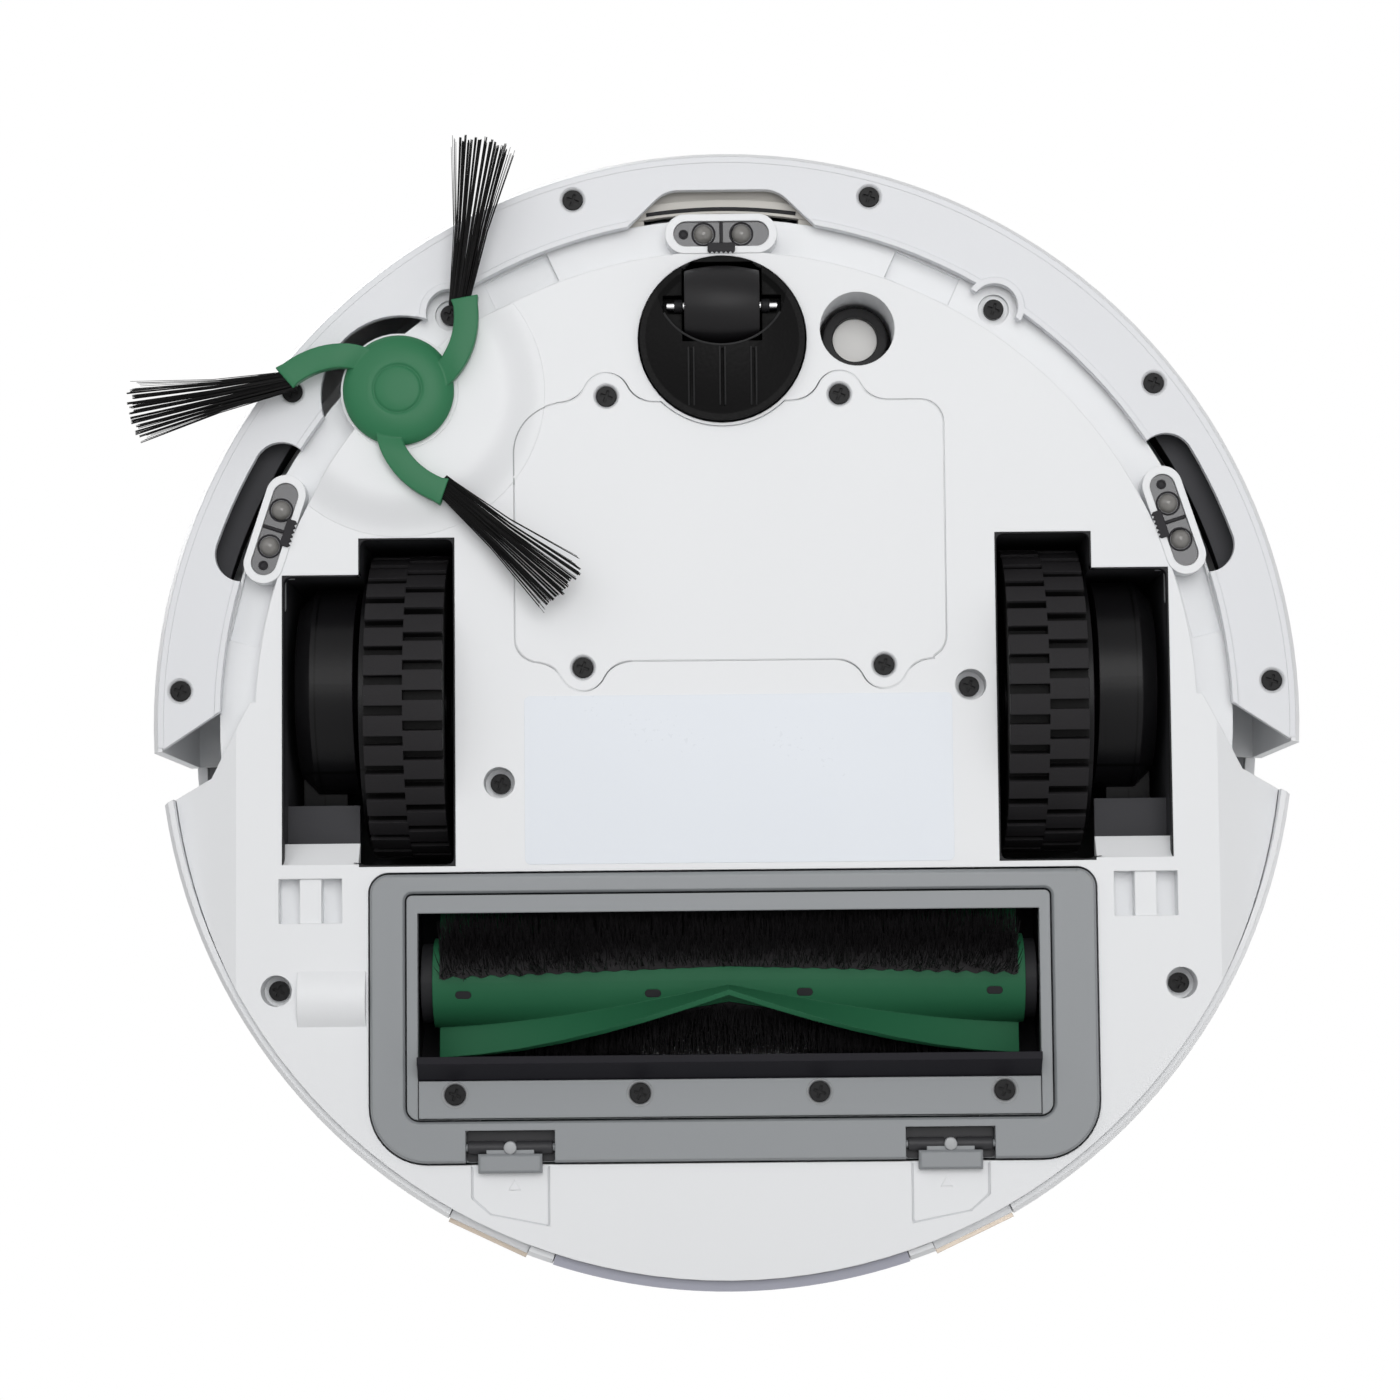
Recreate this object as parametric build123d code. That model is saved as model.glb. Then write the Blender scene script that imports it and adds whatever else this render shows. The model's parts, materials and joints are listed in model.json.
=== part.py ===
from build123d import *
import os
from math import atan2, ceil, cos, degrees, hypot, radians, sin

# Compact round robot vacuum, in millimetres. +Z is up, the floor is z = 0, the bumper (front) faces -Y,
# and the robot's left side is +X. The origin is the centre of the round body, on the floor.

# Round body
bumper_r = 122.3
rear_r = 121.0
base_r = 118.6
front_disc_r = 100.0
gutter_r = 108.2
wall_t = 2.2

# Heights above the floor
base_z = 9.0
plate_top_z = 12.5
gutter_z = 14.5
deck_z = 17.0
ring_z = 11.0
ring_top_z = 13.2
bumper_top_z = 68.0
cover_z = 68.6
roof_z = 80.0
tower_z = 92.0

# Bumper
ring_in_r = 107.7
ring_out_r = 120.0
bumper_end = (120.6, 6.3)
ring_end = (107.9, -2.1)
bumper_screw_r = 116.4
bumper_screw_angles = (15.9, 52.5, 86.7)
front_notch_y = (-104.0, -106.0, -113.8)
front_notch_half = (20.0, 12.0)
strip_reach = 10.8
side_notch_angles = (60.3, 70.7)
side_notch_r = 115.0
side_notch_round = 6.0

# Drive wheels: the axle, the tyre and the arm that lets the wheel drop
wheel_y = -4.5
tyre_r = 33.0
tyre_root_r = 30.6
tyre_in_r = 24.5
tyre_x = (59.7, 76.3)
tread_blocks = 32
tread_gap = 2.1
axle_r = 3.0
arm_pivot = (24.0, 36.0)
pivot_r = 2.5
drum_centre = (-7.7, 31.0)
drum_r = 22.3
drum_x = (79.3, 92.0)
tyre_slot = ((57.5, 78.0), (-38.8, 31.2))
drum_slot = ((77.0, 94.3), (-31.0, 30.6))
housing_t = 1.2
housing_top_z = 69.5

# Caster
caster_y = -81.0
caster_r = 17.7
caster_hole_r = 18.1
caster_axle_y = -88.0
roller_r = 8.6
roller_half = 8.0
stem_r = 4.0
recess_r = 13.9
recess_y = -92.8
recess_z = 6.6

# Side brush
side_hub = (-69.0, -70.0)
side_hub_r = 11.85
side_boss_r = 12.4
side_boss_z = 6.4
dome_r = 30.0
arm_tip_r = 24.0
arm_w = 5.3
brush_arms = ((-54.0, 16.5), (66.0, 15.5), (186.0, 11.5))
tuft_tip_r = 57.2

# Main brush and its guard
roll_y = 55.8
roll_z = 17.6
roll_half = 62.5
chamber_top_z = 40.6
core_r = 9.5
core_bore_r = 8.0
core_hole_x = (-56.0, -16.0, 16.0, 56.0)
fin_r = 16.0
bristle_r = 16.2
guard_x = (-75.6, 77.6)
guard_y = (32.9, 93.6)
guard_z = (7.5, 11.5)
guard_hinge = (33.9, 8.5)
guard_open_half = 68.2
guard_open_y = (37.0, 84.9)
mouth_half = 65.5
strip_y = (76.4, 84.2)
strip_screw_x = (-57.7, -18.85, 18.85, 57.7)
latch_x = 46.2
latch_half = 6.7
rod_r = 0.8
rod_z = 9.0
rod_half = 10.2

# Battery bay
door_x = (-44.6, 46.9)
door_y = (-67.4, -12.1)
door_screws = ((-24.9, -68.85), (24.9, -68.85), (-30.3, -10.7), (33.7, -10.7))
door_t = 1.7
door_corner = 11.0
ear_r = 4.9
ear_half = 10.5
ear_waist = 6.4
cell_r = 9.2
cell_half = 32.5
battery_z = (base_z + door_t, base_z + door_t + 39.4)

# Sensors and deep screws
front_cliff = (0.0, -103.8, 0.0)
side_cliff = (95.8, -41.0, 72.0)
cliff_size = (20.3, 5.3)
cliff_rim = (24.0, 8.5)
carpet_spot = (28.9, -82.9)
deep_screws = ((-48.2, 13.6), (52.0, -6.3), (-95.5, 57.2), (95.5, 57.2), (-58.5, -87.7), (58.5, -87.7))
deep_hole_r = 3.3

# Dust bin, fan and lidar
bin_half = 55.0
bin_y = (36.0, 98.0)
bin_z = (41.0, 74.0)
lidar_y = -18.0
tower_r = 38.0
rotor_r = 29.0
fan_y = 8.0
fan_r = 22.0
button_spots = ((-15.0, -84.0), (15.0, -84.0))
button_r = 6.5
contact_angles = (154.8, 205.2)

# Fits and fasteners
run_gap = 0.05
move_gap = 0.4
screw_head_r = 2.15
screw_shank_r = 1.1
upright = (Align.CENTER, Align.CENTER, Align.MIN)


def outline(*points):
    # A closed outline whose points run counter-clockwise, whichever way they are given.
    turns = zip(points, points[1:] + points[:1])
    area = sum(a[0] * b[1] - b[0] * a[1] for a, b in turns)
    return Polygon(*(points if area > 0 else reversed(points)), align=None)


def block(x, y, z):
    size = (x[1] - x[0], y[1] - y[0], z[1] - z[0])
    return Pos(x[0], y[0], z[0]) * Box(*size, align=(Align.MIN, Align.MIN, Align.MIN))


def disc(r, z, x=0.0, y=0.0):
    return Pos(x, y, z[0]) * Cylinder(r, z[1] - z[0], align=upright)


def tube(r_in, r_out, z, x=0.0, y=0.0):
    return disc(r_out, z, x, y) - disc(r_in, z, x, y)


def rod_x(r, x, y, z):
    return Pos(x[0], y, z) * Rot(0, 90, 0) * Cylinder(r, x[1] - x[0], align=upright)


def slab(sketch, z):
    return Pos(0, 0, z[0]) * extrude(sketch, z[1] - z[0], dir=(0, 0, 1))


def prism_x(points, x):
    # A section drawn in Y and Z, carried along X.
    section = Plane.YZ * outline(*points)
    return Pos(x[0], 0, 0) * extrude(section, x[1] - x[0], dir=(1, 0, 0))


def prism_y(points, y):
    # A section drawn in X and Z, carried along Y.
    section = Plane.XZ * outline(*points)
    return Pos(0, y[0], 0) * extrude(section, y[1] - y[0], dir=(0, 1, 0))


def polar(r, angle):
    # Degrees from the front (-Y), positive toward the robot's left (+X).
    return (r * sin(radians(angle)), -r * cos(radians(angle)))


def wedge(low, high, z, r=180.0):
    steps = ceil((high - low) / 30)
    arc = [polar(r, low + (high - low) * i / steps) for i in range(steps + 1)]
    return slab(outline((0, 0), *arc), z)


def rounded(x, y, r_front, r_rear):
    plan = Pos((x[0] + x[1]) / 2, (y[0] + y[1]) / 2) * Rectangle(x[1] - x[0], y[1] - y[0])
    plan = fillet(plan.vertices().sort_by(Axis.Y)[:2], r_front)
    return fillet(plan.vertices().sort_by(Axis.Y)[-2:], r_rear)


def mirrored(x, side):
    return tuple(sorted((side * x[0], side * x[1])))


def screw(x, y, z, head_h, length):
    # A cross-head screw seen from below, with its head's face at z.
    head = disc(screw_head_r, (z, z + head_h), x, y)
    for turn in (20, 110):
        head -= Pos(x, y, z) * Rot(0, 0, turn) * Box(2.6, 0.55, 1.0)
    return head + disc(screw_shank_r, (z + head_h, z + length), x, y)


def screw_hole(x, y, z, sink, top, head_room=0.6):
    sunk = disc(screw_head_r + head_room, (z - 1, z + sink), x, y)
    return sunk + disc(screw_shank_r + run_gap, (z, top), x, y)


def save(name, *solids):
    shape = solids[0] if len(solids) == 1 else Compound(children=list(solids))
    export_step(shape, f"parts/{name}.step")


# Plan of the base: a disc under the front, and the wide rear that starts behind the bumper's ends
def rear_plan(r):
    right = [(101.0, -4.0), (109.5, 12.0), (128.0, 22.0), (128.0, 130.0)]
    left = [(-x, y) for x, y in reversed(right)]
    return Circle(r) & outline(*right, *left)


def door_ear(x, y, grow, z):
    # A bell round a screw that runs out smoothly into the door's edge.
    front = y < -40
    edge = door_y[0] if front else door_y[1]
    out = -1 if front else 1
    r = ear_r + grow
    rise = abs(y - edge)
    foot, shoulder, top = (ear_half + grow, grow), (0.898 * r, rise + 0.439 * r), (0, rise + r)
    waist = (ear_waist + grow, 1.15 + grow)

    def spot(point, side):
        return (x + side * point[0], edge + out * point[1])

    sides = []
    for side in (1, -1):
        lean = ((-side, 0), (-side * 0.439, out * 0.898))
        sides.append(Spline(spot(foot, side), spot(waist, side), spot(shoulder, side), tangents=lean))
    crown = ThreePointArc(spot(shoulder, 1), spot(top, 1), spot(shoulder, -1))
    inner = Polyline(spot(foot, -1), spot((foot[0], -2), -1), spot((foot[0], -2), 1), spot(foot, 1))
    return slab(make_face([sides[0], crown, sides[1], inner]), z)


def door_slab(z, grow=0.0):
    x = (door_x[0] - grow, door_x[1] + grow)
    plan = rounded(x, (door_y[0] - grow, door_y[1] + grow), 5.0, 5.0)
    plan -= Pos(x[0], door_y[0] - grow) * Rectangle(2 * door_corner, 2 * door_corner)
    plan += Pos(x[0] + door_corner, door_y[0] - grow + door_corner) * Circle(door_corner)
    slabs = [door_ear(*spot, grow, z) for spot in door_screws]
    return slab(plan, z) + slabs - disc(caster_hole_r + 0.9 - grow, z, 0, caster_y)


def stadium(place, size, grow=0.0):
    x, y, turn = place
    return Pos(x, y) * Rot(0, 0, turn) * SlotOverall(size[0] + grow, size[1] + grow)


def cliff_places():
    x, y, turn = side_cliff
    return [front_cliff, (x, y, turn), (-x, y, 180 - turn)]


def wheel_slots(z):
    cuts = []
    for side in (1, -1):
        for x, y in (tyre_slot, drum_slot):
            cuts.append(block(mirrored(x, side), y, z))
    return cuts


def base_chassis():
    plate = slab(Circle(front_disc_r) + rear_plan(base_r), (base_z, plate_top_z))
    front = wedge(-96, 96, (0, 80))
    gutter = tube(97.5, gutter_r, (gutter_z, deck_z)) + tube(97.5, front_disc_r, (base_z, deck_z))
    rim = slab(rear_plan(base_r) - rear_plan(114.0), (plate_top_z - 0.1, deck_z))
    sides = slab(rear_plan(base_r) - Rectangle(196, 300), (plate_top_z - 0.1, deck_z))
    wall = tube(gutter_r - wall_t, gutter_r, (gutter_z, 66))
    ends = (wall & wedge(80, 96, (0, 80))) + (wall & wedge(-96, -80, (0, 80)))
    base = plate + (gutter & front) + rim + sides + ends

    # Sides fold up beyond the fold line
    for side in (1, -1):
        fold = [(side * 104, base_z - 1), (side * 130, base_z - 1), (side * 130, 19), (side * 104, base_z)]
        base -= prism_y(fold, (-30, 90))

    # Bosses, sensor rims and the low dome around the side brush
    low, far = (side_boss_r, side_boss_z), (dome_r, base_z)
    slope = Spline(low, (17.0, 6.62), (20.0, 7.05), (23.0, 7.8), (26.0, 8.6), far, tangents=((1, 0), (1, 0)))
    back = Polyline(far, (dome_r, plate_top_z), (13, deck_z), (0, deck_z), (0, side_boss_z), low)
    dome = Pos(*side_hub) * revolve(Plane.XZ * make_face([slope, back]), Axis.Z)
    base += dome & disc(front_disc_r, (0, deck_z))
    base += disc(side_boss_r, (side_boss_z, deck_z), *side_hub)
    for place in cliff_places():
        base += slab(stadium(place, cliff_rim), (base_z - 0.2, deck_z))
    for x, y in deep_screws:
        base += disc(5.5 if y < -50 else 4.1, (gutter_z if y < -50 else plate_top_z - 0.1, 20), x, y)
    base += disc(9.3, (plate_top_z - 0.1, 30), *carpet_spot)
    hump = rod_x(9.5, (-91.0, -76.6), 59.0, 16.5) & block((-92, -76), (40, 80), (0, 14))
    base += hump
    for side in (1, -1):
        base += block(mirrored((79, 97), side), (32.5, 44), (plate_top_z - 0.1, 15.5))

    # Openings: wheels, brush guard, caster, battery bay
    for cut in wheel_slots((0, 40)):
        base -= cut
    ledge = [(26.0, 14.2), (30.9, 10.2), (30.9, 12.4), (30.6, 12.4), (30.6, 15.0), (26.0, 15.0)]
    for side in (1, -1):
        base += prism_x(ledge, mirrored((78.2, drum_slot[0][1]), side))
    gap = 0.45
    opening = rounded((guard_x[0] - gap, guard_x[1] + gap), (guard_y[0] - gap, guard_y[1] + gap), 4.4, 12.4)
    base -= slab(opening, (0, 30))
    base -= disc(caster_hole_r, (0, 40), 0, caster_y)
    base -= door_slab((0, base_z + door_t + 0.1), 0.25)
    bay = rounded((door_x[0] + 4, door_x[1] - 4), (-58.5, door_y[1] - 4), 3.0, 3.0)
    base -= slab(bay, (0, 30))

    # Holes for screws, sensors, the side brush shaft and the battery door's screws
    for x, y in deep_screws:
        base -= disc(deep_hole_r, (0, 15.5), x, y) + disc(screw_shank_r + run_gap, (15, 30), x, y)
    for x, y in door_screws:
        base -= disc(screw_shank_r + run_gap, (0, 30), x, y)
    base -= disc(8.0, (0, 40), *carpet_spot)
    base -= disc(axle_r + run_gap, (0, 40), *side_hub)
    for place in cliff_places():
        base -= slab(stadium(place, cliff_size, 0.2), (0, 11.4))
        base -= slab(stadium(place, (15.0, 4.2)), (0, 20))

    # Pockets: gutter, attachment brackets, latch pads, bumper window pads
    for side in (1, -1):
        for angle in (24.5, 76.5):
            x, y = polar(104.2, side * angle)
            base -= Pos(x, y, gutter_z) * Rot(0, 0, side * angle) * Box(15, 6.4, 3.0)
        for low, high in ((81.6, 86.0), (90.6, 95.0)):
            base -= block(mirrored((low, high), side), (33.6, 43.0), (0, 13.5))
        base -= block(mirrored((86.0, 90.6), side), (33.6, 43.0), (0, base_z + 0.6))
        pad = [(38, 93), (54.5, 93), (54.5, 101), (50.5, 104.5), (38, 107)]
        base -= slab(outline(*[(side * x, y) for x, y in pad]), (0, base_z + 0.4))
    return base


def rear_shell():
    wall = rear_plan(rear_r) - rear_plan(rear_r - wall_t)
    shell = slab(wall, (ring_z, cover_z)) & slab(Circle(rear_r) - Circle(rear_r - wall_t), (0, 80))
    for side in (1, -1):
        back = [(109.6, 12.2), (120.2, 18.0), (119.2, 19.9), (108.6, 14.1)]
        shell += slab(outline(*[(side * x, y) for x, y in back]), (deck_z, cover_z))
    shell -= slab(window_plan(0.2), (0, 40))
    slope = [(rear_r - 1.0, ring_z), (rear_r + 1, ring_z), (rear_r + 1, 13.0), (rear_r, 13.0)]
    shell -= revolve(Plane.XZ * outline(*slope), Axis.Z)
    for angle in contact_angles:
        shell -= contact(angle, 0.15, 5.0)
    for angle in range(112, 152, 4):
        slot = Pos(*polar(rear_r - wall_t / 2, -angle), 46) * Rot(0, 0, -angle)
        shell -= slot * Box(3.2, 8, 12)
    return shell & disc(rear_r, (0, 80))


def window_plan(grow=0.0):
    half = 18.1
    arc = [polar(160, 180 - half - grow / 2 + (2 * half + grow) * i / 4) for i in range(5)]
    return (Circle(rear_r) - Circle(rear_r - wall_t - grow)) & outline((0, 0), *arc)


def contact(angle, grow=0.0, low=17.5):
    x, y = polar(rear_r - 1.0, angle)
    plate = Box(18 + 2 * grow, 3.4 + 2 * grow, 26.5 + grow - low, align=upright)
    return Pos(x, y, low) * Rot(0, 0, angle) * plate


def mid_frame():
    wall = tube(gutter_r - wall_t, gutter_r, (deck_z, 66)) & wedge(-79.8, 79.8, (0, 80))
    for x, y in deep_screws:
        wall -= disc(5.6, (0, 20.2), x, y)
    return wall


def top_cover():
    outer = [(rear_r - 8, roof_z), (rear_r - 2.5, roof_z - 2.6), (rear_r, roof_z - 8), (rear_r, cover_z)]
    inner = [(rear_r - wall_t, cover_z), (rear_r - wall_t, roof_z - 8), (rear_r - 4.5, roof_z - 4.2)]
    under = [(rear_r - 9, roof_z - wall_t), (0, roof_z - wall_t)]
    cover = revolve(Plane.XZ * outline((0, roof_z), *outer, *inner, *under), Axis.Z)
    lid = rounded((-bin_half - 0.9, bin_half + 0.9), (bin_y[0] - 0.9, bin_y[1] + 0.9), 6.9, 16.9)
    cover -= slab(lid, (60, 90))
    cover -= disc(rotor_r + 4, (60, 90), 0, lidar_y)
    for x, y in button_spots:
        cover -= disc(button_r + 0.35, (60, 90), x, y)
    return cover + lidar_base()


def bumper_wedge(z):
    reach = degrees(atan2(bumper_end[1], bumper_end[0])) + 90
    return wedge(-reach, reach, z)


def bumper_shell():
    wall = tube(ring_out_r + 0.1, bumper_r, (ring_z, bumper_top_z)) + tube(113.0, 121.0, (66.0, bumper_top_z))
    slope = [(bumper_r - 1.2, ring_z), (bumper_r + 1, ring_z), (bumper_r + 1, 14.0), (bumper_r, 14.0)]
    wall -= revolve(Plane.XZ * outline(*slope), Axis.Z)
    wall &= bumper_wedge((0, 90))
    for side in (1, -1):
        for angle in bumper_screw_angles:
            x, y = polar(bumper_screw_r, side * angle)
            wall += disc(3.9, (ring_top_z, 24), x, y) - disc(screw_shank_r + run_gap, (0, 40), x, y)
    return wall


def bumper_ring():
    ring = tube(ring_in_r, ring_out_r, (ring_z, ring_top_z))
    ring += tube(ring_in_r, ring_in_r + 1.2, (ring_z - 0.5, ring_top_z))
    right = [ring_end, bumper_end, (bumper_end[0] + 6, bumper_end[1] + 4), (140, -140)]
    left = [(-x, y) for x, y in reversed(right)]
    ring &= slab(outline(*right, *left, (0, -20)), (0, 40))
    wide, narrow = front_notch_half
    back, middle, front = front_notch_y
    notch = [(-wide, back), (wide, back), (wide, middle), (narrow, front), (-narrow, front), (-wide, middle)]
    plan = outline(*notch)
    ring -= slab(fillet(plan.vertices().sort_by(Axis.Y)[:2], 7.0), (0, 40))
    middle_r = side_notch_r - side_notch_round
    for side in (1, -1):
        angles = sorted(side * angle for angle in side_notch_angles)
        ring -= tube(100, side_notch_r, (0, 40)) & wedge(*angles, (0, 40))
        for angle in angles:
            ring -= disc(side_notch_round, (0, 40), *polar(middle_r, angle))
    lip = tube(106.0, ring_out_r, (ring_z - 0.5, ring_top_z))
    for x, y in deep_screws:
        if y < -50:
            ring += lip & disc(6.4, (0, 40), x, y)
            ring -= disc(5.0, (0, 40), x, y)
    ring -= disc(17.2, (0, 40), *side_hub)
    for side in (1, -1):
        for angle in bumper_screw_angles:
            ring -= screw_hole(*polar(bumper_screw_r, side * angle), ring_z, 1.2, 40)
    return ring


def front_strip():
    # A pale strip that shows through the bumper's front notch, on two tabs from the gutter.
    strip = tube(109.5, 112.6, (15.2, deck_z)) + tube(112.5, 115.6, (16.2, deck_z))
    strip &= wedge(-strip_reach, strip_reach, (0, 80))
    tab = tube(gutter_r, 110.0, (15.6, deck_z))
    for side in (1, -1):
        strip += tab & wedge(*sorted((side * (strip_reach - 2), side * strip_reach)), (0, 80))
    return strip


def foam_pads():
    foam = tube(117.2, ring_out_r + 0.1, (25, 60))
    return [foam & wedge(54, 80, (0, 80)), foam & wedge(-80, -54, (0, 80))]


def wheel_housing(side):
    wall = housing_t
    tyre_side, tyre_ends = tyre_slot
    drum_side, drum_ends = drum_slot
    x = (tyre_side[0] - wall, drum_side[1] + wall)
    shell = block(x, (tyre_ends[0] - wall, tyre_ends[1] + wall), (plate_top_z, housing_top_z))
    shell -= block(tyre_side, tyre_ends, (0, housing_top_z - wall))
    shell -= block(drum_side, drum_ends, (0, housing_top_z - wall))
    shell -= block((tyre_side[1] + wall, 120), (-60, drum_ends[0] - wall), (0, 90))
    shell -= rod_x(pivot_r + run_gap, (90, 99), *arm_pivot)
    shell += block((78.8, drum_side[1] + 0.5), (17.6, drum_ends[1] + 0.5), (20.0, 21.4))
    shell -= tube(97.3, gutter_r + 1, (0, deck_z)) & wedge(-96, 96, (0, 80))
    return shell if side > 0 else mirror(shell, Plane.YZ)


def gearbox(side):
    drum = rod_x(drum_r, drum_x, *drum_centre)
    drum = chamfer(drum.edges().filter_by(GeomType.CIRCLE).sort_by(Axis.X)[-1], 3.5)
    y0, z0 = drum_centre
    y1, z1 = arm_pivot
    lug = prism_x([(y0, z0 + 14), (y1, z1 + 5), (y1, z1 - 5), (y0, z0 - 4)], (82.5, 92.0))
    drum = drum + lug + rod_x(5.0, (82.5, 92.0), y1, z1) + rod_x(pivot_r, (91.5, 95.5), y1, z1)
    drum += rod_x(9.0, (78.1, drum_x[0] + 1), wheel_y, tyre_r) + rod_x(axle_r, (60.5, 79), wheel_y, tyre_r)
    drum -= rod_x(12.6, (80.8, 90.5), y0, z0)
    return drum if side > 0 else mirror(drum, Plane.YZ)


def drive_motor(side):
    return rod_x(12.5, mirrored((81.0, 90.4), side), *drum_centre)


def rim(side):
    hub = rod_x(tyre_in_r, (60.6, 75.6), wheel_y, tyre_r) + rod_x(28.4, (76.3, 77.7), wheel_y, tyre_r)
    hub += rod_x(tyre_in_r, (75.5, 76.4), wheel_y, tyre_r)
    hub -= rod_x(20.5, (57, 62.6), wheel_y, tyre_r) - rod_x(6.0, (57, 62.6), wheel_y, tyre_r)
    for i in range(6):
        angle = radians(60 * i + 30)
        hub -= rod_x(4.6, (57, 74), wheel_y + 14.0 * cos(angle), tyre_r + 14.0 * sin(angle))
    hub -= rod_x(axle_r + run_gap, (50, 90), wheel_y, tyre_r)
    return hub if side > 0 else mirror(hub, Plane.YZ)


def tyre(side):
    ring = rod_x(tyre_r, tyre_x, wheel_y, tyre_r) - rod_x(tyre_in_r, (50, 90), wheel_y, tyre_r)
    middle = sum(tyre_x) / 2
    rows = ((tyre_x[0] - 1, middle, 0.0), (middle, tyre_x[1] + 1, 0.5))
    grooves = []
    for low, high, shift in rows:
        for i in range(tread_blocks):
            turn = 360 * (i + shift) / tread_blocks
            depth = tyre_r - tyre_root_r + 1
            tool = Box(high - low, tread_gap, depth)
            place = Pos((low + high) / 2, wheel_y, tyre_r) * Rot(turn, 0, 0)
            grooves.append(place * Pos(0, 0, tyre_root_r + depth / 2) * tool)
    ring -= grooves
    return ring if side > 0 else mirror(ring, Plane.YZ)


def caster_socket():
    cup = disc(19.3, (plate_top_z, 24), 0, caster_y) - tube(97.3, gutter_r + 1, (0, deck_z))
    cup += disc(8, (23, 36), 0, caster_y)
    return cup - disc(caster_hole_r, (0, 21.9), 0, caster_y) - disc(stem_r + run_gap, (0, 40), 0, caster_y)


def caster_body():
    # A domed turntable with a rim, a stem above it and a pocket for the roller.
    rim_z, dome_z, dome_r, top_z, stem_top = 7.4, 3.0, 16.4, 21.5, 35.5
    rise = rim_z - dome_z
    ball_r = (dome_r**2 + rise**2) / (2 * rise)
    half_way = dome_z + ball_r - (ball_r**2 - (dome_r / 2) ** 2) ** 0.5
    dome = ThreePointArc((0, dome_z), (dome_r / 2, half_way), (dome_r, rim_z))
    sides = [(caster_r, rim_z), (caster_r, top_z), (stem_r, top_z), (stem_r, stem_top), (0, stem_top)]
    profile = make_face([dome, Polyline((dome_r, rim_z), *sides, (0, dome_z))])
    body = Pos(0, caster_y, 0) * revolve(Plane.XZ * profile, Axis.Z)
    body -= rod_x(roller_r + 0.8, (-8.5, 8.5), caster_axle_y, roller_r)
    body -= block((-8.5, 8.5), (caster_axle_y - 8.4, caster_axle_y + 8.4), (0, roller_r))
    body -= disc(recess_r, (0, recess_z), 0, recess_y)
    for side in (1, -1):
        pin_slot = (caster_axle_y - 2.0, caster_axle_y + 2.0)
        body -= block(mirrored((8.4, 12.6), side), pin_slot, (0, roller_r + 2))
    groove = [(caster_y + 3, 0), (caster_y + 15, 0), (caster_y + 15, 7.2), (caster_y + 3, 4.0)]
    for x in (-6.5, 0.0, 6.5):
        body -= prism_x(groove, (x - 0.4, x + 0.4))
    return body - rod_x(1.0, (-14.5, 14.5), caster_axle_y, roller_r)


def caster_wheel():
    half = roller_half
    edge_r = roller_r - 1.1
    side = ThreePointArc((edge_r, -half), (roller_r, 0), (edge_r, half))
    profile = make_face([side, Polyline((edge_r, half), (1.05, half), (1.05, -half), (edge_r, -half))])
    return Pos(0, caster_axle_y, roller_r) * Rot(0, 90, 0) * revolve(Plane.XZ * profile, Axis.Z)


def brush_arm(tip_angle):
    # A flat arm that leaves the hub ahead of its tip and curls back to it.
    spots = ((9.5, 40.0), (12.0, 34.5), (15.3, 23.5), (19.3, 11.0), (arm_tip_r, 0.0))
    line = [(r * cos(radians(tip_angle + a)), r * sin(radians(tip_angle + a))) for r, a in spots]
    return trace(Spline(*line), arm_w)


def tuft_frame(tip_angle, lag):
    root = (arm_tip_r * cos(radians(tip_angle)), arm_tip_r * sin(radians(tip_angle)))
    end = tip_angle - lag
    tip = (tuft_tip_r * cos(radians(end)), tuft_tip_r * sin(radians(end)))
    run = hypot(tip[0] - root[0], tip[1] - root[1])
    along = ((tip[0] - root[0]) / run, (tip[1] - root[1]) / run)
    return root, along, run


def tuft_backing(tip_angle, lag):
    root, along, run = tuft_frame(tip_angle, lag)
    turn = degrees(atan2(along[1], along[0]))
    place = Pos(side_hub[0] + root[0], side_hub[1] + root[1], 4.6) * Rot(0, 0, turn)
    return place * Pos(0.3, 0, 0) * Box(3.4, 4.4, 1.9)


def side_brush_hub():
    hub = disc(side_hub_r, (3.3, 6.0), *side_hub) + disc(axle_r, (5.5, 24.0), *side_hub)
    hub = chamfer(hub.edges().filter_by(GeomType.CIRCLE).sort_by(Axis.Z)[0], 1.4)
    hub += tube(4.6, 5.3, (2.7, 4.0), *side_hub)
    for angle, lag in brush_arms:
        hub += Pos(*side_hub) * slab(brush_arm(angle), (3.2, 6.0))
    for angle, lag in brush_arms:
        hub -= tuft_backing(angle, lag)
    return hub


def strand(root, tip, r):
    axis = Vector(*tip) - Vector(*root)
    return extrude(Plane(origin=root, z_dir=axis) * RegularPolygon(r, 3), axis.length)


def side_tuft(tip_angle, lag):
    root, along, run = tuft_frame(tip_angle, lag)
    across = (-along[1], along[0])
    strands = []
    for i in range(-3, 4):
        for layer in range(4):
            side = i + 0.25 * (layer - 1.5)
            start = [side_hub[k] + root[k] + 0.55 * side * across[k] for k in (0, 1)]
            reach = run - 0.16 * side**2 - 0.5 * layer
            end = [start[k] + reach * along[k] + 1.55 * side * across[k] for k in (0, 1)]
            strands.append(strand((*start, 4.1 + 0.36 * layer), (*end, 0.22 + 0.07 * layer), 0.16))
    return tuft_backing(tip_angle, lag) + strands


def on_roll(x, r, angle):
    # Degrees from straight down toward the rear.
    return (x, roll_y + r * sin(radians(angle)), roll_z - r * cos(radians(angle)))


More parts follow.
